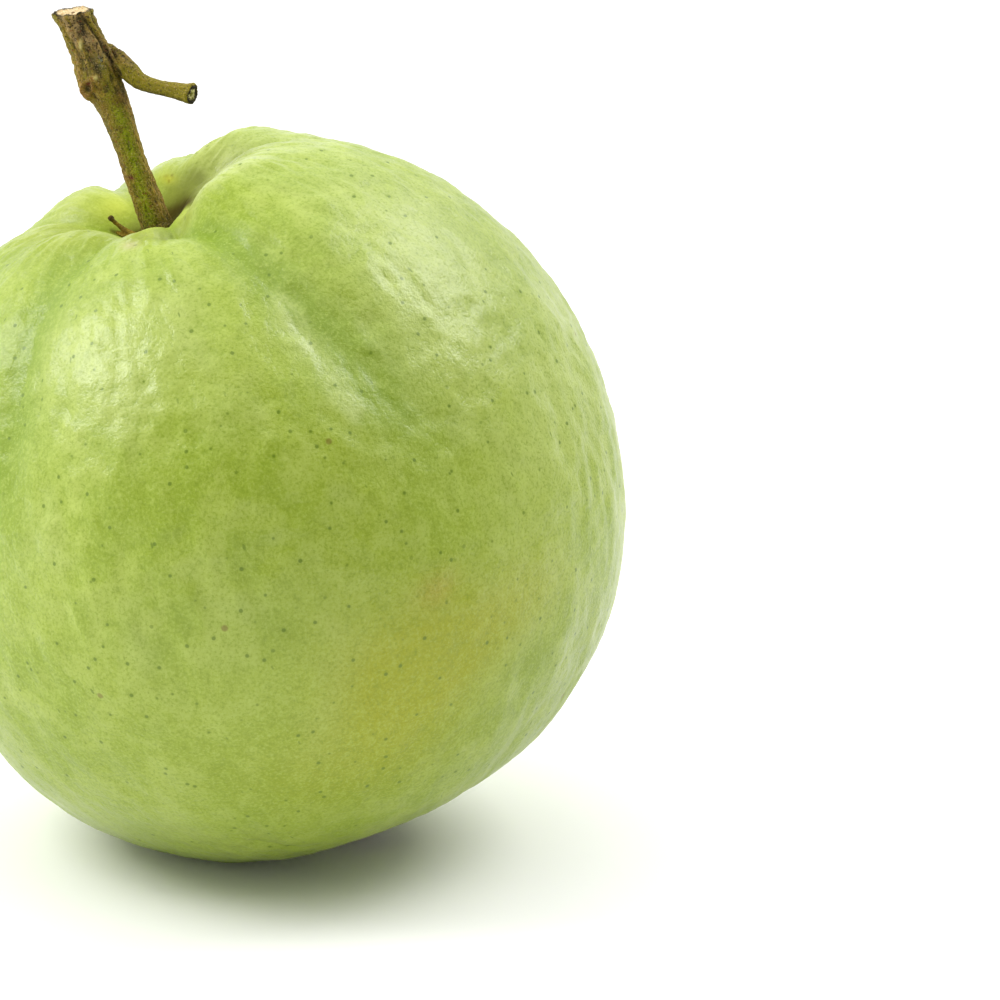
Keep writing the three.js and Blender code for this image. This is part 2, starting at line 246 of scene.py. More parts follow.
def vnoise(p, seed=0):
    """Smooth value noise between -1 and 1 on an (N, 3) array of points."""
    p = np.asarray(p, float)
    i = np.floor(p).astype(np.int64)
    f = p - i
    f = f * f * f * (f * (f * 6 - 15) + 10)
    out = 0
    for dx in (0, 1):
        wx = f[..., 0] if dx else 1 - f[..., 0]
        for dy in (0, 1):
            wy = f[..., 1] if dy else 1 - f[..., 1]
            for dz in (0, 1):
                wz = f[..., 2] if dz else 1 - f[..., 2]
                out = out + wx * wy * wz * _hash(i[..., 0] + dx, i[..., 1] + dy, i[..., 2] + dz, seed)
    return out


def fbm(p, octaves=3, seed=0, gain=0.5):
    a, s, out = 1.0, 1.0, 0
    for k in range(octaves):
        out = out + a * vnoise(np.asarray(p) * s + 17.3 * k, seed + k)
        a *= gain
        s *= 2.03
    return out


def new_mesh(name, verts, faces, attrs=None, smooth=True):
    """A mesh object from points in mm about the fruit's centre."""
    me = bpy.data.meshes.new(name)
    co = ((np.asarray(verts, float) + CENTRE) * MM).tolist()
    me.from_pydata(co, [], faces)
    me.update()
    for key, val in (attrs or {}).items():
        val = np.asarray(val, np.float32)
        if val.ndim == 2:
            a = me.attributes.new(key, "FLOAT_VECTOR", "POINT")
            a.data.foreach_set("vector", val.ravel())
        else:
            a = me.attributes.new(key, "FLOAT", "POINT")
            a.data.foreach_set("value", val.ravel())
    if smooth:
        me.polygons.foreach_set("use_smooth", [True] * len(me.polygons))
    me.validate()
    ob = bpy.data.objects.new(name, me)
    bpy.context.scene.collection.objects.link(ob)
    return ob


def grid_faces(rows, cols, closed_cols=True, flip=False):
    out = []
    m = cols
    last = m if closed_cols else m - 1
    for i in range(rows - 1):
        for j in range(last):
            a, b = i * m + j, i * m + (j + 1) % m
            c, d = (i + 1) * m + (j + 1) % m, (i + 1) * m + j
            out.append((a, b, c, d) if flip else (a, d, c, b))
    return out


# ------------------------------------------------------------------ swept bars
def catmull(line, n):
    L = np.asarray(line, float)
    m = len(L)
    t = np.linspace(0, m - 1, n)
    i = np.clip(np.floor(t).astype(int), 0, m - 2)
    f = (t - i)[:, None]
    p1, p2 = L[i], L[i + 1]
    p0 = np.where((i > 0)[:, None], L[np.maximum(i - 1, 0)], 2 * p1 - p2)
    p3 = np.where((i < m - 2)[:, None], L[np.minimum(i + 2, m - 1)], 2 * p2 - p1)
    return 0.5 * ((2 * p1) + (p2 - p0) * f + (2 * p0 - 5 * p1 + 4 * p2 - p3) * f ** 2
                  + (3 * p1 - p0 - 3 * p2 + p3) * f ** 3)


def frames(C):
    T = np.gradient(C, axis=0)
    T = unit(T)
    S = unit(np.cross(np.array([0.0, 1.0, 0.0]), T))
    D = np.cross(S, T)
    return T, S, D


def sweep(C, R, sides, dent=0.0, shape=None):
    """Closed tube round centres C with radii R; dent hollows the far end."""
    T, S, D = frames(C)
    a = np.linspace(0, 2 * np.pi, sides, endpoint=False)
    ca, sa = np.cos(a), np.sin(a)
    k = shape(a) if shape else np.ones((len(C), sides))
    V = C[:, None, :] + (R[:, None] * k * ca)[..., None] * S[:, None, :] + (R[:, None] * k * sa)[..., None] * D[:, None, :]
    n = len(C)
    V = V.reshape(-1, 3)
    F = grid_faces(n, sides)
    V = np.concatenate([V, [C[0]], [C[-1] - T[-1] * dent]])
    for j in range(sides):
        F.append((n * sides, j, (j + 1) % sides))
        F.append((n * sides + 1, (n - 1) * sides + (j + 1) % sides, (n - 1) * sides + j))
    return V, F


def nearest_on(P, C):
    """Index and fraction along a polyline nearest to each point, with the distance."""
    best_d = np.full(len(P), 1e9)
    best_s = np.zeros(len(P))
    seg = np.linalg.norm(np.diff(C, axis=0), axis=1)
    acc = np.concatenate([[0], np.cumsum(seg)])
    for i in range(len(C) - 1):
        ab = C[i + 1] - C[i]
        t = np.clip(((P - C[i]) @ ab) / (ab @ ab), 0, 1)
        d = np.linalg.norm(P - (C[i] + t[:, None] * ab), axis=1)
        m = d < best_d
        best_d[m] = d[m]
        best_s[m] = acc[i] + t[m] * seg[i]
    return best_s, best_d, acc


def project(P):
    d = P - eye
    z = d @ cf
    return 500 + FOCAL * (d @ cr) / z, 500 - FOCAL * (d @ cu) / z


def spot(px, py, x, y, sx, sy=None, ang=0.0):
    """1 at a pixel, falling off over sx, sy pixels along and across a direction in the picture."""
    sy = sy or sx
    ca, sa = math.cos(rad(ang)), math.sin(rad(ang))
    u, w = (px - x) * ca + (py - y) * sa, -(px - x) * sa + (py - y) * ca
    return np.exp(-(u / sx) ** 2 - (w / sy) ** 2)


def near_line(px, py, pts, width):
    """1 on a line of pixels, falling off over width pixels."""
    q = np.stack([px, py, np.zeros_like(px)], -1)
    c = np.array([(x, y, 0.0) for x, y in pts])
    return np.exp(-(nearest_on(q, c)[1] / width) ** 2)


def remeshed(name, groups, voxel):
    """One closed skin over overlapping closed shapes; returns points (mm), faces."""
    V, F, base = [], [], 0
    for v, f in groups:
        V.append(v)
        F += [tuple(k + base for k in q) for q in f]
        base += len(v)
    me = bpy.data.meshes.new(name)
    me.from_pydata(np.concatenate(V).tolist(), [], F)
    me.update()
    ob = bpy.data.objects.new(name, me)
    bpy.context.scene.collection.objects.link(ob)
    mod = ob.modifiers.new("remesh", "REMESH")
    mod.mode = "VOXEL"
    mod.voxel_size = voxel
    mod.adaptivity = 0.0
    dg = bpy.context.evaluated_depsgraph_get()
    done = bpy.data.meshes.new_from_object(ob.evaluated_get(dg))
    pts = np.zeros(len(done.vertices) * 3)
    done.vertices.foreach_get("co", pts)
    nor = np.zeros(len(done.vertices) * 3)
    done.vertices.foreach_get("normal", nor)
    polys = [tuple(p.vertices) for p in done.polygons]
    bpy.data.objects.remove(ob)
    bpy.data.meshes.remove(me)
    bpy.data.meshes.remove(done)
    return pts.reshape(-1, 3), nor.reshape(-1, 3), polys


def smooth_points(pts, polys, times=1, k=0.5):
    e = np.array([(a, b) for p in polys for a, b in zip(p, p[1:] + p[:1])])
    deg = np.bincount(e[:, 0], minlength=len(pts)) + np.bincount(e[:, 1], minlength=len(pts))
    for _ in range(times):
        acc = np.zeros_like(pts)
        for c in range(3):
            acc[:, c] = np.bincount(e[:, 0], pts[e[:, 1], c], len(pts)) + np.bincount(e[:, 1], pts[e[:, 0], c], len(pts))
        pts = pts + k * (acc / deg[:, None] - pts)
    return pts


# ------------------------------------------------------------------ fruit
NPHI = 396
rows = np.concatenate([
    np.linspace(0, 27, 62)[1:],
    np.linspace(27, 153, 162)[1:],
    np.linspace(153, 180, 27)[1:-1]])
phis = np.linspace(-180, 180, NPHI, endpoint=False)
TH, PH = np.meshgrid(rows, phis, indexing="ij")


def merid(th, ph):
    """Coordinates that run along and across the meridians, in mm at the waist."""
    p = np.radians(ph)
    return np.stack([48 * np.cos(p), 48 * np.sin(p), np.radians(th) * 48], -1)


def skin_detail(th, ph, P):
    """Shallow lumps, meridian ripples and wrinkles, in mm."""
    m = merid(th, ph)
    wide = fbm(P / 13.0, 2, 11)
    mid = fbm(m / np.array([7.5, 7.5, 12.0]) + 3.1, 2, 23)
    fine = fbm(m / np.array([3.4, 3.4, 7.5]) + 9.7, 2, 37)
    away = sstep(6, 20, off_cavity(th, ph)) * (1 - sstep(150, 166, th))
    lumps = fbm(P / 3.1 + 6.0, 2, 41)
    ridge = 1 - 2.2 * np.abs(fbm(m / np.array([3.0, 3.0, 4.6]) + 21.0, 3, 47))
    upper = 0.55 + 0.45 * sstep(118, 84, th)
    out = (0.18 * wide + 0.15 * mid + 0.09 * fine + (0.13 * lumps + 0.11 * ridge) * upper) * away
    out = out - 0.30 * away * furrows(th, ph)[1] ** 2
    # wrinkles that run down from the rim of the stem cavity
    k = np.exp(-((off_cavity(th, ph) - 17.0) / 8.0) ** 2)
    out = out + 0.06 * k * fbm(np.stack([np.cos(np.radians(ph)) * 13, np.sin(np.radians(ph)) * 13, th * 0.05], -1), 2, 51)
    # puckers into the blossom-end basin
    b = np.exp(-((180 - th - 15.0) / 8.0) ** 2)
    out = out + 0.14 * b * fbm(np.stack([np.cos(np.radians(ph)) * 3.0, np.sin(np.radians(ph)) * 3.0, th * 0.03], -1), 2, 77)
    return out


def crease(th, ph, P):
    """The short fold by the basin at the lower right of the front."""
    a, b = skin_hit(252, 844)[0], skin_hit(291, 847)[0]
    ab = b - a
    s = np.clip(((P - a) @ ab) / (ab @ ab), 0, 1)
    d = np.linalg.norm(P - (a + s[..., None] * ab), axis=-1)
    return 0.42 * np.exp(-(d / 0.95) ** 1.6)


base_r = skin_radius(TH, PH)
P0 = place(TH, PH, base_r)
det = skin_detail(TH, PH, P0) - crease(TH, PH, P0)
# the rim dips right of the twig
det = det - 0.75 * np.exp(-(np.linalg.norm(P0 - skin_hit(186, 214)[0], axis=-1) / 2.4) ** 2)
P = place(TH, PH, base_r + det)
top = place(np.array([0.0]), np.array([0.0]), skin_radius(np.array([0.0]), np.array([0.0])))
bot = place(np.array([180.0]), np.array([0.0]), skin_radius(np.array([180.0]), np.array([0.0])))
verts = np.concatenate([P.reshape(-1, 3), top, bot])
verts[:, 2] = np.maximum(verts[:, 2], REST_Z)
nr = len(rows)
faces = grid_faces(nr, NPHI)
t_i, b_i = nr * NPHI, nr * NPHI + 1
for j in range(NPHI):
    faces.append((t_i, j, (j + 1) % NPHI))
    faces.append((b_i, (nr - 1) * NPHI + (j + 1) % NPHI, (nr - 1) * NPHI + j))
thv = np.concatenate([TH.ravel(), [0.0, 180.0]])
phv = np.concatenate([PH.ravel(), [0.0, 0.0]])


def near_pixel(points, px, py, sx, sy=None, ang=0.0):
    """1 at the place on the skin under a pixel, falling off over sx, sy mm across and along an angle on the skin."""
    c = skin_hit(px, py)[0]
    n = unit(c)
    a = unit(cr - (cr @ n) * n)
    b = np.cross(n, a)
    ca, sa = math.cos(rad(ang)), math.sin(rad(ang))
    u, w = a * ca + b * sa, -a * sa + b * ca
    d = points - c
    sy = sy or sx
    return np.exp(-((d @ u) / sx) ** 2 - ((d @ w) / sy) ** 2 - ((d @ n) / (sx + sy)) ** 2)


dep, furrow_tint_and_shade_mask = furrows(thv, phv)
offc = off_cavity(thv, phv)
# yellower, more saturated patches low on the right; the lowest one is painted shade
yellow_tint_and_shade = np.clip(near_pixel(verts, 447, 650, 9.0, 7.0) + 0.80 * near_pixel(verts, 390, 690, 9.0, 11.0, 20)
               + 0.60 * near_pixel(verts, 520, 600, 9.0, 6.0) + 0.45 * near_pixel(verts, 360, 765, 15.0, 9.0), 0, 1)
# painted shade: a darker patch low on the right flank and a smaller one on the left shoulder
painted_shade = np.clip(near_pixel(verts, 345, 775, 15, 10) + 0.9 * near_pixel(verts, 60, 243, 8, 4.5), 0, 1)
rosy = near_pixel(verts, 436, 588, 3.2, 2.2, 20)
# painted sheen: pale patches where the softboxes' highlights fall on the lobes
painted_sheen = np.clip(near_pixel(verts, 400, 215, 17, 10, -35) * 0.8 + near_pixel(verts, 560, 400, 9, 20, 0) * 0.8
               + near_pixel(verts, 105, 370, 10, 10) * 0.7 + near_pixel(verts, 435, 290, 11, 12) * 0.6, 0, 1)
vpx, vpy = project(verts)
seen = sstep(-0.2, 0.2, -(unit(verts) @ cf))
# darker green along the furrows, part the skin's own colour and part painted shade; the two lines traced in the
# picture's frame are painted shade
furrow_tint_and_shade_mask = np.maximum.reduce([furrow_tint_and_shade_mask,
    0.80 * seen * near_line(vpx, vpy, [(100, 243), (80, 250), (60, 260), (40, 300), (25, 350), (19, 400), (14, 430)], 12.0),
    0.85 * seen * near_line(vpx, vpy, [(205, 224), (249, 249), (302, 294), (335, 340), (366, 380), (410, 415)], 11.0)])
# painted highlights: pale lines along the lobes' crests, a streak beside the right furrow and a patch at the top back,
# broken up by noise
sheen_breakup = fbm(merid(thv, phv) / np.array([1.5, 1.5, 4.0]) + 4.0, 3, 641)
painted_sheen = np.clip(painted_sheen + seen * (0.9 + 0.9 * sheen_breakup) * np.maximum.reduce([
    near_line(vpx, vpy, [(190, 207), (203, 188), (232, 170), (268, 152), (340, 142)], 5.0),
    near_line(vpx, vpy, [(84, 190), (108, 191), (124, 202)], 5.0),
    near_line(vpx, vpy, [(30, 226), (60, 211), (82, 196)], 6.0),
    near_line(vpx, vpy, [(282, 300), (300, 335), (328, 372), (352, 412)], 13.0)])
    + 0.8 * near_pixel(verts, 255, 138, 9, 5), 0, 1)
stem_foot = place(np.array([2.0]), np.array([-80.0]), skin_radius(np.array([2.0]), np.array([-80.0])))[0]
wob = fbm(verts / 1.6, 3, 91)
behind = sstep(-1.0, 2.0, verts @ np.array([0, 1.0, 0]))
right_wall = np.maximum(behind, sstep(36.0, 50.0, phv) * (1 - sstep(150.0, 160.0, phv)))
pit_brown_and_shade = np.clip(1.15 - offc / 6.4 + 0.30 * wob, 0, 1) ** 1.2
# brown tissue with painted shade in the hollow right of the twig
pit_brown_and_shade = np.clip(pit_brown_and_shade + near_line(vpx, vpy, [(168, 214), (174, 212), (182, 208), (188, 204)], 9.0 + 1.5 * wob) * (1 - sstep(13.0, 17.0, offc)) * right_wall, 0, 1)
# painted shadow: a dark crescent under the bracteole on the front rim
pit_brown_and_shade = np.clip(pit_brown_and_shade + 0.8 * near_line(vpx, vpy, [(112, 231), (122, 235), (132, 234), (146, 229)], 2.6) * (1 - sstep(8.5, 12.5, offc)), 0, 1)
marks = np.maximum.reduce([spot(vpx, vpy, 166, 177, 2.2, 1.2), spot(vpx, vpy, 172, 176, 1.6, 1.3), spot(vpx, vpy, 169, 181, 1.2, 1.0)])
pit_brown_and_shade = np.clip(pit_brown_and_shade + marks * behind, 0, 1)
halo_m = 0.45 * spot(vpx, vpy, 168, 179, 8, 5) * behind * (1 - sstep(12, 18, offc))
# painted shade: olive darkening on the cavity's right wall
olive_pit_shade = np.clip(1.2 * near_line(vpx, vpy, [(172, 204), (184, 198), (192, 190), (198, 180)], 12.0) * (1 - sstep(13, 18, offc)) * right_wall
                + 0.65 * spot(vpx, vpy, 174, 184, 15, 15) * (1 - sstep(13, 18, offc)) * behind, 0, 1)
# painted light: the cavity's left inner wall made lighter
pit_wall_painted_light = spot(vpx, vpy, 117, 207, 17, 12) * (1 - sstep(15, 20, offc)) * sstep(-16.0, -13.0, -verts[:, 1])
pink = 0.55 * spot(vpx, vpy, 130, 245, 9, 4.5, -12) * seen
m_all = merid(thv, phv)
big = np.clip(0.5 + 0.55 * fbm(verts / 15.0 + 2.0, 2, 601), 0, 1)
mid = np.clip(0.5 + 0.5 * fbm(verts / 3.6 + 5.0, 3, 611), 0, 1)
bloom = sstep(0.05, 0.75, 0.6 * fbm(m_all / np.array([7.0, 7.0, 13.0]) + 1.0, 3, 621) + 0.45 * fbm(verts / 6.0, 2, 631))
attrs = {
    "big": big, "mid": mid, "bloom": bloom,
    "pit_brown_and_shade": pit_brown_and_shade, "olive_pit_shade": olive_pit_shade, "matt": np.clip(np.maximum(pit_brown_and_shade, 1 - sstep(9.0, 17.0, offc)) + 0.9 * near_pixel(verts, 226, 210, 6.5, 5.0), 0, 1), "halo": halo_m, "pink": pink,
    "merid": m_all,
    "furrow_tint_and_shade": furrow_tint_and_shade_mask,
    "pit": np.exp(-(offc / 8.6) ** 4.0),
    "rim": np.exp(-((offc - 15.0) / 7.0) ** 2),
    "yellow_tint_and_shade": yellow_tint_and_shade, "rosy": rosy, "pit_wall_painted_light": pit_wall_painted_light, "painted_shade": painted_shade,
    "painted_sheen": painted_sheen,
    "basin": np.exp(-((180 - thv) / 9.0) ** 3),
}
fruit = new_mesh("guava_fruit", verts, faces, attrs)

# ------------------------------------------------------------------ twig
TWIG_LINE = [
    [-12.70, 1.40, 35.60, 2.45], [-12.98, 1.44, 36.40, 2.22], [-13.23, 1.48, 37.10, 2.04], [-14.04, 1.61, 39.34, 1.96],
    [-15.29, 1.81, 42.77, 1.83], [-16.16, 1.95, 45.26, 1.75], [-16.91, 2.10, 47.76, 1.84],
    [-17.90, 2.27, 50.77, 2.02], [-18.89, 2.42, 53.25, 2.27], [-19.77, 2.51, 54.82, 2.60],
    [-20.40, 2.58, 56.12, 2.79], [-20.76, 2.67, 57.69, 2.66], [-21.38, 2.78, 59.51, 2.43],
    [-22.44, 2.92, 61.85, 2.37], [-23.31, 3.02, 63.66, 2.36], [-23.86, 3.11, 65.04, 2.40], [-24.16, 3.16, 65.84, 2.42]]
# the twig's top is cut off almost level
CUT_AT = np.array([-23.55, 3.07, 64.5])
CUT_UP = unit([-0.10, -0.04, 1.0])
FORK_LINE = [
    [-19.70, 2.76, 59.25, 1.30], [-18.13, 2.35, 58.27, 1.49], [-16.44, 1.93, 57.04, 1.36],
    [-15.14, 1.50, 55.87, 1.17], [-13.82, 1.11, 55.29, 1.04], [-12.38, 0.74, 54.97, 0.97],
    [-10.93, 0.37, 54.78, 1.04], [-9.62, 0.01, 54.59, 1.16], [-8.56, -0.36, 54.40, 1.27],
    [-7.87, -0.70, 54.31, 1.27]]

tc = catmull(TWIG_LINE, 160)
fc = catmull(FORK_LINE, 90)


def ball(c, h, n=20):
    a, b = np.meshgrid(np.linspace(0.06, np.pi - 0.06, n), np.linspace(0, 2 * np.pi, n * 2, endpoint=False), indexing="ij")
    V = np.stack([np.sin(a) * np.cos(b) * h[0], np.sin(a) * np.sin(b) * h[1], np.cos(a) * h[2]], -1).reshape(-1, 3) + c
    F = grid_faces(n, n * 2)
    V = np.concatenate([V, [np.array(c) + [0, 0, h[2]]], [np.array(c) - [0, 0, h[2]]]])
    m = n * 2
    for j in range(m):
        F.append((n * m, j, (j + 1) % m))
        F.append((n * m + 1, (n - 1) * m + (j + 1) % m, (n - 1) * m + j))
    return V, F


VOX = 0.1
tv, tfaces = sweep(tc[:, :3], tc[:, 3], 64)
over = np.maximum((tv - CUT_AT) @ CUT_UP, 0)
t_end = unit(tc[-1, :3] - tc[-6, :3])
tv = tv - (over / (t_end @ CUT_UP))[:, None] * t_end
tp, tn, tf = remeshed("twig_tmp", [
    (tv, tfaces),
    sweep(fc[:, :3], fc[:, 3], 48, 0.2),
    ball([-21.45, 1.4, 54.5], [1.15, 1.1, 1.35]),
    ball([-18.3, 2.45, 58.2], [1.9, 1.6, 1.45])], VOX)
tp = smooth_points(tp, tf, 6, 0.5)
s_t, d_t, acc_t = nearest_on(tp, tc[::2, :3])
s_f, d_f, acc_f = nearest_on(tp, fc[::2, :3])
len_t, len_f = acc_t[-1], acc_f[-1]
r_t = np.interp(s_t, acc_t, tc[::2, 3][:len(acc_t)])
r_f = np.interp(s_f, acc_f, fc[::2, 3][:len(acc_f)])
on_fork = sstep(-0.5, 0.9, (d_t - r_t) - (d_f - r_f) + 0.2)
on_fork = on_fork * sstep(0.5, 2.6, s_f)
T, S, D = frames(tc[::2, :3])
ct = np.stack([np.interp(s_t, acc_t, tc[::2, k]) for k in range(3)], -1)
cfk = np.stack([np.interp(s_f, acc_f, fc[::2, k]) for k in range(3)], -1)
St = np.stack([np.interp(s_t, acc_t, S[:, k]) for k in range(3)], -1)
Dt = np.stack([np.interp(s_t, acc_t, D[:, k]) for k in range(3)], -1)
T2, S2, D2 = frames(fc[::2, :3])
Sf = np.stack([np.interp(s_f, acc_f, S2[:, k]) for k in range(3)], -1)
Df = np.stack([np.interp(s_f, acc_f, D2[:, k]) for k in range(3)], -1)
q = tp - ct
ang_t = np.arctan2(np.sum(q * Dt, -1), np.sum(q * St, -1))
q = tp - cfk
ang_f = np.arctan2(np.sum(q * Df, -1), np.sum(q * Sf, -1))
grain_t = np.stack([np.cos(ang_t) * 2.1, np.sin(ang_t) * 2.1, s_t], -1)
grain_f = np.stack([np.cos(ang_f) * 1.2 + 9, np.sin(ang_f) * 1.2, s_f + 40], -1)
w_f = on_fork[:, None]
grain = grain_t * (1 - w_f) + grain_f * w_f
px, py = project(tp)
facing = np.clip(-(tn @ cf), -1, 1)
frontal = sstep(-0.15, 0.25, facing)
Te = CUT_UP
below_cut = (CUT_AT - tp) @ CUT_UP
Fe = unit(fc[-1, :3] - fc[-4, :3])
cap_t = sstep(0.55, 0.85, tn @ Te) * (1 - sstep(0.10, 0.5, below_cut))
cap_f = sstep(0.4, 0.8, tn @ Fe) * (1 - sstep(0.15, 0.8, len_f - s_f)) * sstep(0.3, 0.7, on_fork)
upper = sstep(56.0, 58.6, tp @ np.array([0, 0, 1.0]))  # old woody part above the node
node = np.exp(-((tp[:, 2] - 55.8) / 2.3) ** 2) * (1 - on_fork)

# bark relief: ridges along the grain, stronger on the old wood, pores and small warts
g1 = fbm(grain * np.array([1.15, 1.15, 0.16]) + 5.0, 3, 101)
g2 = fbm(grain * np.array([2.9, 2.9, 0.45]) + 8.0, 2, 131)
g3 = fbm(grain * np.array([3.2, 3.2, 2.3]) + 2.0, 2, 151)
g4 = fbm(tp * 1.15, 2, 161)
ridge = 1 - np.abs(g1) * 1.6
side = (1 - cap_t) * (1 - cap_f)
rel = (0.05 + 0.11 * upper + 0.08 * node) * (ridge - 0.45) + (0.035 + 0.045 * upper + 0.05 * node) * g2 \
    + (0.06 + 0.03 * upper) * g3 + (0.05 + 0.05 * upper + 0.06 * node) * g4
rel = rel * (1 - 0.45 * on_fork)
# two raised lines down the right of the old wood and the groove between them
for pts, h in (([(86, 16), (96, 30), (106, 45), (114, 58), (120, 68)], 0.26), ([(80, 16), (90, 34), (100, 50), (109, 66), (114, 76)], 0.20),
               ([(83, 16), (93, 32), (103, 48), (112, 62)], -0.30), ([(61, 22), (66, 36), (72, 50), (76, 64)], 0.12)):
    rel = rel + h * near_line(px, py, pts, 1.5) * frontal * (1 - cap_t)
# crotch of the fork
rel = rel - 0.28 * near_line(px, py, [(112, 50), (117, 62), (120, 74)], 1.6) * frontal
# bud scar: raised lip with a pit in it
lip = np.hypot(((px - 88.0) * 0.94 + (py - 88.0) * 0.34) / 5.4, (-(px - 88.0) * 0.34 + (py - 88.0) * 0.94) / 7.6)
lip = lip * (1 + 0.16 * fbm(tp * 0.9, 2, 165))
rel = rel + (0.24 * np.exp(-((lip - 0.95) / 0.26) ** 2) - 0.30 * np.exp(-(lip / 0.5) ** 2)) * frontal
rel = rel + (0.16 * spot(px, py, 85.5, 84.5, 2.0, 1.2, 40) - 0.20 * spot(px, py, 89.5, 82.5, 2.4, 1.1, -35)) * frontal
rel = rel + 0.20 * spot(px, py, 96, 78, 2.2) * frontal
# light fleck on the old wood
rel = rel + 0.12 * spot(px, py, 81, 44, 2.4, 4.5) * frontal
# cut ends are rough, with a broken rim
cutn = fbm(tp * 1.7, 3, 171)
tp = tp + tn * (rel * side)[:, None]
q = tp - CUT_AT
q = q - (q @ CUT_UP)[:, None] * CUT_UP
q_r, q_a = np.linalg.norm(q, axis=1), np.arctan2(q @ cu, q @ cr)
split = fbm(np.stack([np.cos(q_a) * 2.6, np.sin(q_a) * 2.6, q_r * 0.25], -1), 3, 175)
tp = tp + Te * (cap_t * (0.16 * cutn + 0.14 * split - 0.28 * np.exp(-(q_r / 0.55) ** 2) + 0.10 * sstep(1.3, 2.2, q_r) - 0.05))[:, None]
tp = tp + Fe * (cap_f * (0.30 * cutn - 0.12))[:, None]
rim_t = np.exp(-((below_cut - 0.25) / 0.35) ** 2) * (1 - cap_t)
tp = tp + tn * (rim_t * (0.10 + 0.16 * fbm(tp * 0.9, 2, 181)))[:, None]
rim_f = np.exp(-((len_f - s_f - 0.3) / 0.45) ** 2) * (1 - cap_f) * on_fork
tp = tp + tn * (rim_f * (0.12 + 0.14 * fbm(tp * 1.3, 2, 191)))[:, None]

green_line = near_line(px, py, [(106, 92), (116, 108), (124, 126), (130, 148), (137, 174), (144, 200), (150, 222)], 6.5)
back_green = 0.5 + 0.5 * np.sin(ang_t * 2 + 0.6)
green = (green_line * frontal + (1 - frontal) * 0.75 * back_green) * (1 - upper)
green = green * (1 - 0.75 * node) * (1 - on_fork)
fork_green = on_fork * sstep(2.6, 5.0, s_f)
under = np.clip(-(tn @ np.array([0, 0, 1.0])), 0, 1)
dark = near_line(px, py, [(80, 24), (82, 40), (88, 56), (96, 68)], 4.0) * frontal * 0.8
# painted shade in the crotch of the fork
dark = np.maximum(dark, near_line(px, py, [(110, 56), (116, 66), (120, 76)], 2.0) * frontal * 0.45)
dark = np.maximum(dark, near_line(px, py, [(83, 16), (93, 32), (103, 48), (112, 62)], 1.3) * frontal * 0.5)
dark = np.maximum(dark, (1 - frontal) * upper * sstep(0.1, 0.7, fbm(grain * np.array([0.7, 0.7, 0.14]), 2, 211)))
# painted shade along the fork's underside
dark = np.maximum(dark, 0.85 * on_fork * sstep(0.25, 0.85, under) * sstep(1.5, 4, s_f))
dark = np.maximum(dark, 0.6 * np.exp(-((tp[:, 2] - 36.3) / 1.6) ** 2) * (1 - on_fork))
rust = spot(px, py, 87.5, 84, 3.0, 2.6) * frontal
rust = np.maximum(rust, 0.9 * spot(px, py, 131, 178, 4.0, 2.4, 20) * frontal)
rust = np.maximum(rust, 0.40 * np.exp(-((lip - 0.95) / 0.3) ** 2) * frontal)
rust = np.maximum(rust, 0.95 * spot(px, py, 90, 83, 3.6, 1.5, -35) * frontal)
rust = np.maximum(rust, 0.5 * spot(px, py, 121, 128, 5, 3) * frontal)
rust = np.maximum(rust, 0.5 * spot(px, py, 118, 100, 7, 12, 60) * frontal)
blue = spot(px, py, 100, 62, 6, 9, 20) * frontal + (1 - frontal) * upper * 0.4 * sstep(0.2, 0.8, fbm(tp * 0.5, 2, 221))
fleck = spot(px, py, 81, 45, 1.7, 5.0) * frontal + spot(px, py, 96, 78, 1.9, 2.2) * frontal
tan = near_line(px, py, [(116, 84), (126, 104), (134, 128), (142, 152), (152, 182), (163, 212)], 3.6) * frontal + (1 - frontal) * 0.4 * (1 - back_green)
tan = tan * (1 - on_fork)
twig = new_mesh("guava_twig", tp, tf, {
    "grain": grain, "green": np.clip(green, 0, 1), "fork_green": fork_green, "dark": np.clip(dark, 0, 1),
    "rust": np.clip(rust, 0, 1), "blue": np.clip(blue, 0, 1), "fleck": np.clip(fleck, 0, 1), "tan": np.clip(tan, 0, 1),
    "cut": np.clip(cap_t, 0, 1), "cut_fork": np.clip(cap_f, 0, 1), "cut_r": np.where(on_fork > 0.5, d_f / 1.27, q_r / 2.4), "upper": upper, "relief": np.clip(rel * 2.0, -1, 1)})

# ------------------------------------------------------------------ bracteole: a dried spike and a curled flake at its foot
BRACT = [
    [-15.9, 3.85, 34.5, 0.50], [-16.5, 4.0, 34.70, 0.50], [-17.2, 4.2, 35.0, 0.46], [-17.8, 4.33, 35.42, 0.36],
    [-18.4, 4.45, 35.95, 0.29], [-18.95, 4.52, 36.40, 0.30], [-19.3, 4.58, 36.75, 0.40], [-19.55, 4.6, 36.98, 0.27]]
bc = catmull(BRACT, 46)
bv, bf = sweep(bc[:, :3], bc[:, 3], 20)
flake_v, flake_f = [], []
fl = catmull([[-18.6, 3.7, 35.1, 0.25], [-18.0, 3.5, 34.75, 0.55], [-17.2, 3.2, 34.5, 0.7], [-16.3, 2.95, 34.45, 0.6], [-15.6, 2.8, 34.6, 0.3]], 34)
T, S, D = frames(fl[:, :3])
cols = np.linspace(-1, 1, 13)
curl = (cols ** 2) * 0.35
up = unit(np.cross(T, np.array([0.3, 1.0, 0.1])))
outer = fl[:, None, :3] + (fl[:, 3][:, None] * cols[None, :])[..., None] * np.cross(up, T)[:, None, :] \
    + (curl[None, :] * np.ones((len(fl), 1)))[..., None] * up[:, None, :]
outer = outer + 0.08 * fbm(outer.reshape(-1, 3) * 1.6, 2, 231).reshape(outer.shape[:2])[..., None] * up[:, None, :]
inner = outer - 0.16 * up[:, None, :]
n, m = outer.shape[:2]
fv = np.concatenate([outer.reshape(-1, 3), inner.reshape(-1, 3)])
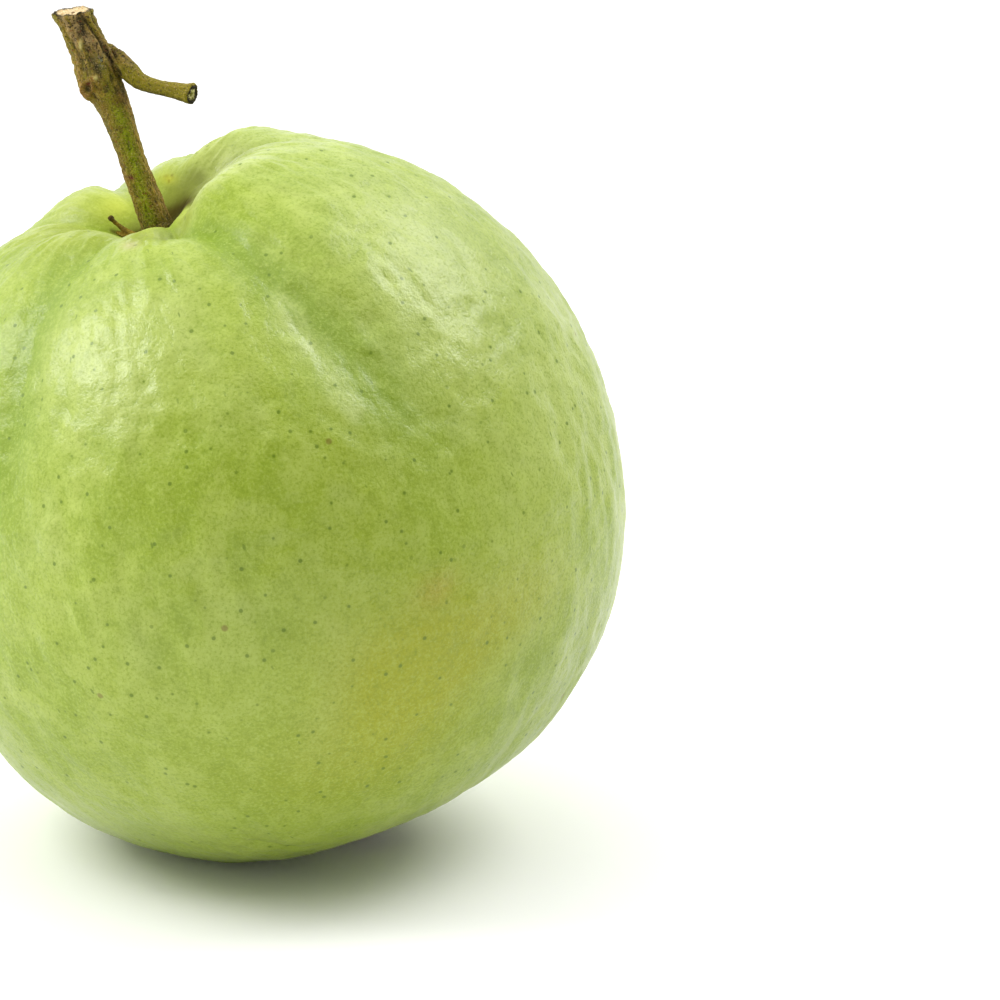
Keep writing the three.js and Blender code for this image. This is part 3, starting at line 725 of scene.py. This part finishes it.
ff = grid_faces(n, m, False) + [tuple(k + n * m for k in f) for f in grid_faces(n, m, False, True)]
edge = [j for j in range(m)] + [i * m + m - 1 for i in range(1, n)] + [(n - 1) * m + j for j in range(m - 2, -1, -1)] + [i * m for i in range(n - 2, 0, -1)]
for a, b in zip(edge, edge[1:] + edge[:1]):
    ff.append((a, b, b + n * m, a + n * m))
bp, bn, bpf = remeshed("bract_tmp", [(bv, bf), (fv, ff)], 0.06)
bp = smooth_points(bp, bpf, 2, 0.5)
bp = bp + bn * (0.05 * fbm(bp * 2.6, 3, 241))[:, None]
bs, bd, bacc = nearest_on(bp, bc[::2, :3])
bract = new_mesh("guava_bracteole", bp, bpf, {"along": bs / bacc[-1], "tip": np.exp(-((bs - bacc[-1] + 0.3) / 0.45) ** 2)})

# ------------------------------------------------------------------ dried calyx in the blossom-end basin
TOUCH = 0.30
MM_TO_DEG = math.degrees(1 / (MEAN_RADIUS - BASIN[0]))
DISC_R, DISC_T = 4.3, 0.9
nr_d, nc_d = 40, 120
rr = np.linspace(0, 1, nr_d)[1:]
pp = np.linspace(-180, 180, nc_d, endpoint=False)
RR, PP = np.meshgrid(rr, pp, indexing="ij")
edge_n = fbm(np.stack([np.cos(np.radians(PP)) * 2.4, np.sin(np.radians(PP)) * 2.4, 0 * PP], -1), 3, 301)


def disc_point(r, ph, h):
    th = 180 - r * DISC_R * MM_TO_DEG
    return place(th, ph, skin_radius(th, ph) + h)


ringn = np.sin(RR * 13.0 + edge_n * 1.5) * 0.06
radial = fbm(np.stack([np.cos(np.radians(PP)) * 7, np.sin(np.radians(PP)) * 7, RR * 1.2], -1), 3, 311)
hole = np.exp(-(RR / 0.16) ** 2)
height = TOUCH + DISC_T * (0.72 + 0.22 * np.exp(-((RR - 0.86) / 0.12) ** 2) - 0.35 * hole) + ringn + 0.10 * radial
height = height * (1 - sstep(0.965, 1.0, RR)) + (TOUCH + DISC_T * 0.45) * sstep(0.965, 1.0, RR)
topv = disc_point(RR * (1 - 0.035 * np.abs(edge_n)), PP, height)
botv = disc_point(RR * (1 - 0.035 * np.abs(edge_n)), PP, np.full_like(RR, TOUCH))
c_top = disc_point(np.array([0.0]), np.array([0.0]), np.array([TOUCH + DISC_T * 0.4]))
c_bot = disc_point(np.array([0.0]), np.array([0.0]), np.array([TOUCH]))
nd = (nr_d - 1) * nc_d
dv = np.concatenate([topv.reshape(-1, 3), botv.reshape(-1, 3), c_top, c_bot])
df = grid_faces(nr_d - 1, nc_d, True) + [tuple(k + nd for k in f) for f in grid_faces(nr_d - 1, nc_d, True, True)]
for j in range(nc_d):
    k = (j + 1) % nc_d
    df.append((2 * nd, j, k))
    df.append((2 * nd + 1, nd + k, nd + j))
    o = (nr_d - 2) * nc_d
    df.append((o + k, o + j, nd + o + j, nd + o + k))
rel_d = np.concatenate([RR.ravel(), RR.ravel(), [0, 0]])
disc = new_mesh("guava_calyx_disc", dv, df, {"along": rel_d, "tip": np.zeros(len(dv))})
calyx = [disc]

RING, LENGTH, WIDTH, THICK, SPREAD, CURL = 5.4, 3.5, 5.6, 0.6, 12.0, 70.0
for i, share in enumerate([0.85, 0.92, 1.08, 1.0, 0.8]):
    ph = -90.0 + 72.0 * i
    length = LENGTH * share
    th0 = np.array([180 - RING * MM_TO_DEG])
    foot = place(th0, np.array([ph]), skin_radius(th0, np.array([ph])) + 0.34 + 0.25)[0]
    down = -core
    outward = unit(foot - (foot @ core) * core)
    along = np.cross(down, outward)
    ns, nx = 46, 56
    s = np.linspace(0, 1, ns)[:, None]
    x = np.linspace(-1, 1, nx)[None, :]
    seed = 400 + 7 * i
    base2 = np.stack([s * length + 0 * x, x * 2.8 + 0 * s, np.full((ns, nx), 3.0 * i)], -1)
    half = (WIDTH / 2) * (1 - 0.78 * s ** 1.8)
    half = half * (1 + 0.07 * fbm(base2 * 0.9, 2, seed) * np.abs(x))
    lean = np.radians(SPREAD - CURL * s)
    mean = np.radians(SPREAD - CURL * s / 2)
    rise, reach = s * length * np.cos(mean), s * length * np.sin(mean)
    cup = (x * half) ** 2 / (2 * (RING + reach))
    wr = 0.16 * fbm(base2 * np.array([0.35, 1.5, 1]) + 4.1, 3, seed + 1) * sstep(0.0, 0.25, s + 0 * x)
    wr = wr + 0.10 * fbm(base2 * 1.1, 2, seed + 3) * sstep(0.0, 0.3, s + 0 * x)
    lens = np.sqrt(np.clip(1 - np.abs(x) ** 4, 0.04, 1)) * np.sqrt(np.clip(1 - (s ** 6), 0.05, 1))
    sheets = []
    for sign in (0.5, -0.5):
        th_ = sign * THICK * (1 - 0.35 * s) * lens * 0.9 + wr
        v = foot + (rise - th_ * np.sin(lean))[..., None] * down + (reach - cup + th_ * np.cos(lean))[..., None] * outward \
            + (x * half)[..., None] * along
        sheets.append(v)
    n = ns * nx
    sv = np.concatenate([sheets[0].reshape(-1, 3), sheets[1].reshape(-1, 3)])
    sf = grid_faces(ns, nx, False, True) + [tuple(k + n for k in f) for f in grid_faces(ns, nx, False)]
    edge = [j for j in range(nx)] + [a * nx + nx - 1 for a in range(1, ns)] + [(ns - 1) * nx + j for j in range(nx - 2, -1, -1)] \
        + [a * nx for a in range(ns - 2, 0, -1)]
    for a, b in zip(edge, edge[1:] + edge[:1]):
        sf.append((b, a, a + n, b + n))
    sa = np.concatenate([(s + 0 * x).ravel()] * 2)
    tipm = sstep(0.55, 1.0, sa)
    calyx.append(new_mesh("guava_sepal_%d" % (i + 1), sv, sf, {"along": sa, "tip": tipm}))


# ------------------------------------------------------------------ materials
class Nodes:
    def __init__(self, name):
        self.mat = bpy.data.materials.new(name)
        self.mat.use_nodes = True
        self.nt = self.mat.node_tree
        self.nt.nodes.clear()
        out = self.nt.nodes.new("ShaderNodeOutputMaterial")
        self.bsdf = self.nt.nodes.new("ShaderNodeBsdfPrincipled")
        self.nt.links.new(self.bsdf.outputs["BSDF"], out.inputs["Surface"])
        co = self.nt.nodes.new("ShaderNodeTexCoord")
        self.obj = self.scale(co.outputs["Object"], 1000.0)

    def put(self, socket, v):
        if isinstance(v, bpy.types.NodeSocket):
            self.nt.links.new(v, socket)
        else:
            socket.default_value = v

    def scale(self, v, k):
        n = self.nt.nodes.new("ShaderNodeVectorMath")
        n.operation = "MULTIPLY"
        self.put(n.inputs[0], v)
        n.inputs[1].default_value = (k, k, k) if isinstance(k, (int, float)) else k
        return n.outputs[0]

    def shift(self, v, k):
        n = self.nt.nodes.new("ShaderNodeVectorMath")
        n.operation = "ADD"
        self.put(n.inputs[0], v)
        self.put(n.inputs[1], k)
        return n.outputs[0]

    def attr(self, name, vector=False):
        n = self.nt.nodes.new("ShaderNodeAttribute")
        n.attribute_name = name
        return n.outputs["Vector"] if vector else n.outputs["Fac"]

    def noise(self, v, scale=1.0, detail=2.0, rough=0.5, dist=0.0):
        n = self.nt.nodes.new("ShaderNodeTexNoise")
        self.put(n.inputs["Vector"], v)
        n.inputs["Scale"].default_value = scale
        n.inputs["Detail"].default_value = detail
        n.inputs["Roughness"].default_value = rough
        n.inputs["Distortion"].default_value = dist
        return n.outputs["Fac"]

    def noise_colour(self, v, scale=1.0, detail=2.0):
        n = self.nt.nodes.new("ShaderNodeTexNoise")
        self.put(n.inputs["Vector"], v)
        n.inputs["Scale"].default_value = scale
        n.inputs["Detail"].default_value = detail
        return n.outputs["Color"]

    def cells(self, v, scale, rand=1.0):
        n = self.nt.nodes.new("ShaderNodeTexVoronoi")
        self.put(n.inputs["Vector"], v)
        n.inputs["Scale"].default_value = scale
        n.inputs["Randomness"].default_value = rand
        return n.outputs["Distance"], n.outputs["Color"]

    def m(self, op, a, b=0.0, c=0.0, clamp=False):
        n = self.nt.nodes.new("ShaderNodeMath")
        n.operation = op
        n.use_clamp = clamp
        self.put(n.inputs[0], a)
        self.put(n.inputs[1], b)
        if op in ("MULTIPLY_ADD", "SMOOTH_MIN", "SMOOTH_MAX"):
            self.put(n.inputs[2], c)
        return n.outputs[0]

    def span(self, v, a, b, c=0.0, d=1.0, smooth=True):
        n = self.nt.nodes.new("ShaderNodeMapRange")
        n.interpolation_type = "SMOOTHSTEP" if smooth else "LINEAR"
        n.clamp = True
        self.put(n.inputs[0], v)
        for k, x in zip((1, 2, 3, 4), (a, b, c, d)):
            self.put(n.inputs[k], x)
        return n.outputs[0]

    def mix(self, f, a, b, blend="MIX"):
        n = self.nt.nodes.new("ShaderNodeMix")
        n.data_type = "RGBA"
        n.blend_type = blend
        self.put(n.inputs[0], f)
        self.put(n.inputs[6], a)
        self.put(n.inputs[7], b)
        return n.outputs[2]

    def sep(self, v):
        n = self.nt.nodes.new("ShaderNodeSeparateColor")
        self.put(n.inputs[0], v)
        return n.outputs[0], n.outputs[1], n.outputs[2]

    def bump(self, h, strength=1.0, normal=None, distance=0.001):
        n = self.nt.nodes.new("ShaderNodeBump")
        n.inputs["Strength"].default_value = strength
        n.inputs["Distance"].default_value = distance
        self.put(n.inputs["Height"], h)
        if normal is not None:
            self.put(n.inputs["Normal"], normal)
        return n.outputs[0]

    def done(self, ob, **inputs):
        names = {"color": "Base Color", "rough": "Roughness", "normal": "Normal", "sss": "Subsurface Weight",
                 "coat": "Coat Weight", "coat_rough": "Coat Roughness", "ior": "IOR", "spec": "Specular IOR Level",
                 "sheen": "Sheen Weight", "sheen_rough": "Sheen Roughness", "sss_scale": "Subsurface Scale",
                 "sss_radius": "Subsurface Radius", "coat_normal": "Coat Normal"}
        for k, v in inputs.items():
            self.put(self.bsdf.inputs[names[k]], v)
        for o in (ob if isinstance(ob, list) else [ob]):
            o.data.materials.clear()
            o.data.materials.append(self.mat)
        return self.mat


# skin ----------------------------------------------------------------
n = Nodes("guava_skin")
mer = n.attr("merid", True)
big, mid, bloom_a = n.attr("big"), n.attr("mid"), n.attr("bloom")
small = n.noise(n.obj, 1 / 1.7, 4.0, 0.66)
grain_f = n.noise(n.obj, 1 / 0.42, 2.0, 0.7)
streak = n.noise(n.scale(mer, (0.85, 0.85, 0.13)), 1.0, 2.0, 0.6)
furrow_tint_and_shade = n.attr("furrow_tint_and_shade")
pit, rim, yellow_tint_and_shade_a, painted_sheen_a, basin_a = (n.attr(k) for k in ("pit", "rim", "yellow_tint_and_shade", "painted_sheen", "basin"))

col = n.mix(n.span(big, 0.25, 0.75), SKIN_A, SKIN_B)
col = n.mix(n.span(mid, 0.40, 0.85), col, SKIN_C)
col = n.mix(n.m("MULTIPLY", n.span(mid, 0.45, 0.12), 0.16), col, SKIN_DARK)
col = n.mix(n.m("MULTIPLY", bloom_a, 0.40), col, SKIN_BLOOM)
# darker green furrows, part the skin's own colour and part painted shade
col = n.mix(n.m("MULTIPLY", furrow_tint_and_shade, 0.85), col, SKIN_FURROW_AND_SHADE)
# painted sheen and painted highlights
col = n.mix(n.m("MULTIPLY", painted_sheen_a, 0.50), col, SKIN_PAINTED_SHEEN)
# painted shade, low on the right and on the left shoulder
col = n.mix(n.m("MULTIPLY", n.attr("painted_shade"), 0.45), col, SKIN_PAINTED_SHADE)
# yellow tint low on the right, its lowest part painted shade
col = n.mix(n.m("MULTIPLY", yellow_tint_and_shade_a, 0.90), col, SKIN_YELLOW_TINT)
col = n.mix(n.m("MULTIPLY", n.attr("rosy"), 0.30), col, lin(176, 128, 50))
# fine mottling, light and dark
col = n.mix(n.m("MULTIPLY", n.span(small, 0.46, 0.82), 0.38), col, SKIN_LIGHT)
col = n.mix(n.m("MULTIPLY", n.span(small, 0.54, 0.24), 0.40), col, SKIN_DARK)
col = n.mix(n.m("MULTIPLY", n.span(grain_f, 0.46, 0.78), 0.44), col, SKIN_LIGHT)
col = n.mix(n.m("MULTIPLY", n.span(grain_f, 0.52, 0.28), 0.58), col, SKIN_DARK)
col = n.mix(n.m("MULTIPLY", n.span(streak, 0.56, 0.78), 0.15), col, SKIN_LIGHT)
# lenticels: dark green dots, some drawn out along the meridians
da, ca_ = n.cells(n.shift(n.obj, (1.7, 0.4, 2.2)), 1 / 2.15)
ra = n.sep(ca_)[0]
dot_a = n.m("MULTIPLY", n.span(da, 0.160, 0.080), n.span(ra, 0.15, 0.40))
db, cb_ = n.cells(n.scale(mer, (1.0, 1.0, 0.42)), 1 / 2.9)
rb = n.sep(cb_)[0]
dot_b = n.m("MULTIPLY", n.span(db, 0.085, 0.045), n.span(rb, 0.35, 0.6))
dots = n.m("MAXIMUM", dot_a, n.m("MULTIPLY", dot_b, 0.8))
dots = n.m("MULTIPLY", dots, n.m("SUBTRACT", 1.0, pit, clamp=True))
halo = n.m("MULTIPLY", n.span(da, 0.30, 0.13), n.span(ra, 0.25, 0.5))
col = n.mix(n.m("MULTIPLY", halo, 0.16), col, SKIN_DARK)
col = n.mix(n.m("MULTIPLY", dots, 0.72), col, SKIN_DOT)
# a few small brownish scars
sc, scc = n.cells(n.shift(n.obj, (4.0, 9.0, 5.0)), 1 / 9.5)
scar = n.m("MULTIPLY", n.span(sc, 0.060, 0.030), n.span(n.sep(scc)[1], 0.45, 0.6))
col = n.mix(n.m("MULTIPLY", scar, 0.7), col, lin(118, 104, 40))
# pit: painted olive shade, then brown at its floor, part dried tissue and part painted shade
col = n.mix(n.m("MULTIPLY", rim, 0.32), col, SKIN_PITWALL)
edge_noise = n.m("MULTIPLY_ADD", small, 0.5, n.m("SUBTRACT", pit, 0.25))
col = n.mix(n.m("MULTIPLY", n.span(edge_noise, 0.30, 0.75), 0.75), col, SKIN_PITSHADE)
# painted shade on the cavity's right wall
col = n.mix(n.m("MULTIPLY", n.attr("olive_pit_shade"), 0.80), col, SKIN_PITSHADE)
# painted light on the cavity's left inner wall
col = n.mix(n.m("MULTIPLY", n.attr("pit_wall_painted_light"), 0.55), col, lin(198, 206, 84))
# brown tissue round the twig, with painted shade in the hollow and painted shadow under the bracteole
col = n.mix(n.attr("pit_brown_and_shade"), col, SKIN_BROWN)
col = n.mix(n.attr("pink"), col, SKIN_PINK)
col = n.mix(n.attr("halo"), col, lin(188, 186, 50))
col = n.mix(n.m("MULTIPLY", n.span(n.m("MULTIPLY_ADD", mid, 0.4, basin_a), 0.5, 1.15), 0.7), col, lin(140, 140, 62))

h = n.m("MULTIPLY", n.m("SUBTRACT", small, 0.5), 0.15)
h = n.m("MULTIPLY_ADD", n.m("SUBTRACT", streak, 0.5), 0.03, h)
h = n.m("MULTIPLY_ADD", n.m("SUBTRACT", grain_f, 0.5), 0.055, h)
nor = n.bump(h, 1.0)
rough = n.span(n.m("MULTIPLY_ADD", small, 0.6, n.m("MULTIPLY", big, 0.4)), 0.30, 0.72, ROUGH[0], ROUGH[1])
matt = n.attr("matt")
rough = n.m("MULTIPLY_ADD", matt, n.m("SUBTRACT", 0.95, rough), rough)
n.done(fruit, color=col, rough=rough, normal=nor,
       coat=n.m("MULTIPLY", n.m("SUBTRACT", 1.0, matt, clamp=True), COAT[0]), coat_rough=COAT[1], ior=1.45, spec=0.24, coat_normal=nor)

# bark ----------------------------------------------------------------
n = Nodes("guava_bark")
gr = n.attr("grain", True)
a_green, a_fork, a_dark, a_rust, a_blue, a_fleck, a_tan, a_cut, a_upper, a_rel = (
    n.attr(k) for k in ("green", "fork_green", "dark", "rust", "blue", "fleck", "tan", "cut", "upper", "relief"))
f1 = n.noise(n.scale(gr, (1.0, 1.0, 0.16)), 0.9, 3.0, 0.6)
f2 = n.noise(n.scale(gr, (1.0, 1.0, 0.3)), 3.2, 3.0, 0.6)
f3 = n.noise(n.obj, 2.4, 3.0, 0.65)
f4 = n.noise(n.shift(n.obj, (3.0, 1.0, 8.0)), 5.2, 2.0, 0.6)
c = n.mix(n.span(f1, 0.36, 0.64), BARK_OLIVE, BARK_BROWN)
c = n.mix(n.m("MULTIPLY", n.span(f1, 0.48, 0.66), a_upper), c, BARK_GREY)
c = n.mix(n.m("MULTIPLY", a_tan, n.span(f2, 0.40, 0.62)), c, BARK_TAN)
c = n.mix(n.m("MULTIPLY", a_green, n.span(f2, 0.90, 0.52)), c, BARK_GREEN)
c = n.mix(n.m("MULTIPLY", a_fork, n.span(f2, 0.85, 0.45)), c, BARK_FORK)
c = n.mix(n.m("MULTIPLY", a_blue, n.span(f3, 0.42, 0.58)), c, BARK_BLUE)
c = n.mix(n.m("MULTIPLY", a_dark, n.span(f2, 0.70, 0.40)), c, BARK_DARK)
# grooves are darker, ridges lighter
c = n.mix(n.m("MULTIPLY", n.span(a_rel, 0.05, -0.35), 0.7), c, BARK_DARK)
c = n.mix(n.m("MULTIPLY", n.span(a_rel, 0.10, 0.45), 0.35), c, BARK_TAN)
# speckles: rusty, pale and dark
f5 = n.noise(n.shift(n.obj, (1.0, 6.0, 2.0)), 3.6, 1.0, 0.5)
c = n.mix(n.m("MULTIPLY", n.span(f4, 0.54, 0.68), 0.60), c, BARK_SPECK)
c = n.mix(n.m("MULTIPLY", n.span(f5, 0.46, 0.32), n.m("MULTIPLY_ADD", a_upper, 0.25, 0.60)), c, BARK_DARK)
c = n.mix(n.m("MULTIPLY", n.span(f2, 0.42, 0.28), 0.40), c, BARK_DARK)
c = n.mix(n.m("MULTIPLY", n.span(f2, 0.58, 0.72), 0.35), c, BARK_TAN)
c = n.mix(n.m("MULTIPLY", n.m("MULTIPLY", n.span(f3, 0.60, 0.68), 0.7), n.m("SUBTRACT", 1.0, a_fork, clamp=True)), c, BARK_RUST)
c = n.mix(n.m("MULTIPLY", a_rust, n.span(f3, 0.75, 0.40)), c, BARK_RED)
c = n.mix(n.m("MULTIPLY", a_fleck, 0.85), c, lin(190, 180, 110))
wood = n.mix(n.span(f3, 0.35, 0.60), CUT_A, CUT_B)
wood = n.mix(n.m("MULTIPLY", n.span(f4, 0.58, 0.70), 0.8), wood, lin(150, 100, 50))
cr_ = n.attr("cut_r")
wood = n.mix(n.span(n.m("MULTIPLY_ADD", f3, 0.5, cr_), 0.98, 1.22), wood, BARK_DARK)
wood = n.mix(n.m("MULTIPLY", n.span(n.m("MULTIPLY_ADD", f3, 0.3, cr_), 0.36, 0.26), 0.8), wood, lin(120, 84, 40))
c = n.mix(a_cut, c, wood)
stub = n.mix(n.span(f3, 0.38, 0.62), lin(206, 198, 140), lin(150, 146, 66))
stub = n.mix(n.span(n.m("MULTIPLY_ADD", f3, 0.7, cr_), 0.80, 1.12), stub, BARK_DARK)
c = n.mix(n.attr("cut_fork"), c, stub)
hh = n.m("MULTIPLY", n.m("SUBTRACT", f2, 0.5), 0.22)
hh = n.m("MULTIPLY_ADD", n.m("SUBTRACT", f4, 0.5), 0.14, hh)
n.done(twig, color=c, rough=n.span(f3, 0.3, 0.7, 0.55, 0.85), normal=n.bump(hh, 1.0), spec=0.22)

# dried calyx ---------------------------------------------------------
n = Nodes("guava_dried")
f1 = n.noise(n.obj, 0.9, 3.0, 0.6)
f2 = n.noise(n.shift(n.obj, (2.0, 5.0, 1.0)), 3.1, 3.0, 0.65)
c = n.mix(n.span(f1, 0.35, 0.65), lin(84, 62, 26), lin(120, 96, 50))
c = n.mix(n.m("MULTIPLY", n.span(f2, 0.52, 0.68), 0.7), c, lin(150, 128, 80))
c = n.mix(n.m("MULTIPLY", n.attr("tip"), 0.75), c, lin(46, 32, 18))
c = n.mix(n.m("MULTIPLY", n.span(f2, 0.44, 0.30), 0.7), c, lin(52, 36, 16))
hh = n.m("MULTIPLY", n.m("SUBTRACT", f2, 0.5), 0.30)
n.done(calyx, color=c, rough=n.span(f1, 0.3, 0.7, 0.7, 0.92), normal=n.bump(hh, 1.0), spec=0.3)

n = Nodes("guava_bracteole_dried")
f1 = n.noise(n.obj, 1.3, 3.0, 0.6)
f2 = n.noise(n.shift(n.obj, (2.0, 5.0, 1.0)), 4.1, 3.0, 0.65)
c = n.mix(n.span(f1, 0.35, 0.65), lin(108, 88, 8), lin(142, 120, 30))
c = n.mix(n.m("MULTIPLY", n.span(f2, 0.56, 0.72), 0.5), c, lin(150, 126, 72))
c = n.mix(n.m("MULTIPLY", n.attr("tip"), 0.85), c, lin(48, 34, 12))
hh = n.m("MULTIPLY", n.m("SUBTRACT", f2, 0.5), 0.16)
n.done(bract, color=c, rough=n.span(f1, 0.3, 0.7, 0.6, 0.85), normal=n.bump(hh, 1.0), spec=0.2)

# ------------------------------------------------------------------ floor and light
me = bpy.data.meshes.new("floor")
me.from_pydata([(-6, -6, 0), (6, -6, 0), (6, 6, 0), (-6, 6, 0)], [], [(0, 1, 2, 3)])
floor = bpy.data.objects.new("floor", me)
bpy.context.scene.collection.objects.link(floor)
fm = bpy.data.materials.new("floor")
fm.use_nodes = True
fb = fm.node_tree.nodes["Principled BSDF"]
fb.inputs["Base Color"].default_value = (FLOOR, FLOOR, FLOOR, 1)
fb.inputs["Roughness"].default_value = 0.9
fb.inputs["Specular IOR Level"].default_value = 0.0
me.materials.append(fm)

world = bpy.data.worlds.new("studio")
bpy.context.scene.world = world
world.use_nodes = True
bg = world.node_tree.nodes["Background"]
bg.inputs["Color"].default_value = (1, 1, 1, 1)
bg.inputs["Strength"].default_value = WORLD


def flag(name, corners, grey):
    """A dark card out of the camera's sight."""
    me = bpy.data.meshes.new(name)
    me.from_pydata(corners, [], [(0, 1, 2, 3)])
    ob = bpy.data.objects.new(name, me)
    bpy.context.scene.collection.objects.link(ob)
    cm = bpy.data.materials.new(name)
    cm.use_nodes = True
    cb = cm.node_tree.nodes["Principled BSDF"]
    cb.inputs["Base Color"].default_value = (grey, grey, grey, 1)
    cb.inputs["Roughness"].default_value = 0.95
    cb.inputs["Specular IOR Level"].default_value = 0.0
    me.materials.append(cm)
    ob.visible_camera = False


# one behind the camera keeps the side that faces it calmer than the flanks, one darkens the low right flank
flag("card", [(-1.1, -0.85, 0.18), (1.1, -0.85, 0.18), (1.1, -0.85, CARD[1]), (-1.1, -0.85, CARD[1])], CARD[0])
flag("card_right", [(0.34, -0.55, 0.0), (0.34, 0.30, 0.0), (0.34, 0.30, 0.26), (0.34, -0.55, 0.26)], 0.30)


def softbox(name, d, size, power):
    v = unit(d[0] * cr + d[1] * cu - d[2] * cf)
    data = bpy.data.lights.new(name, "AREA")
    data.shape = "SQUARE"
    data.size = size * MM
    data.energy = power
    ob = bpy.data.objects.new(name, data)
    bpy.context.scene.collection.objects.link(ob)
    ob.location = Vector(((500.0 * v + CENTRE) * MM).tolist())
    ob.rotation_mode = "QUATERNION"
    ob.rotation_quaternion = Vector((-v).tolist()).to_track_quat("-Z", "Y")
    ob.visible_camera = False
    return ob


softbox("softbox_left", (-0.725, 0.638, 0.2545), 260, SOFT[0])
softbox("softbox_right", (0.64, 0.765, -0.02), 270, SOFT[1])

view = bpy.context.scene.view_settings
view.view_transform = "Standard"
view.look = "None"
view.exposure = 0.0
view.gamma = 1.0

# ------------------------------------------------------------------ what rides on what
for ob, cad, slot in ([(fruit, "fruit", "skin"), (twig, "twig", "bark"), (bract, "bracteole", "dried_calyx"),
                       (disc, "calyx_disc", "dried_calyx")]
                      + [(calyx[k], "sepal_%d" % k, "dried_calyx") for k in range(1, 6)]):
    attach(ob, "root")
    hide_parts(cad)
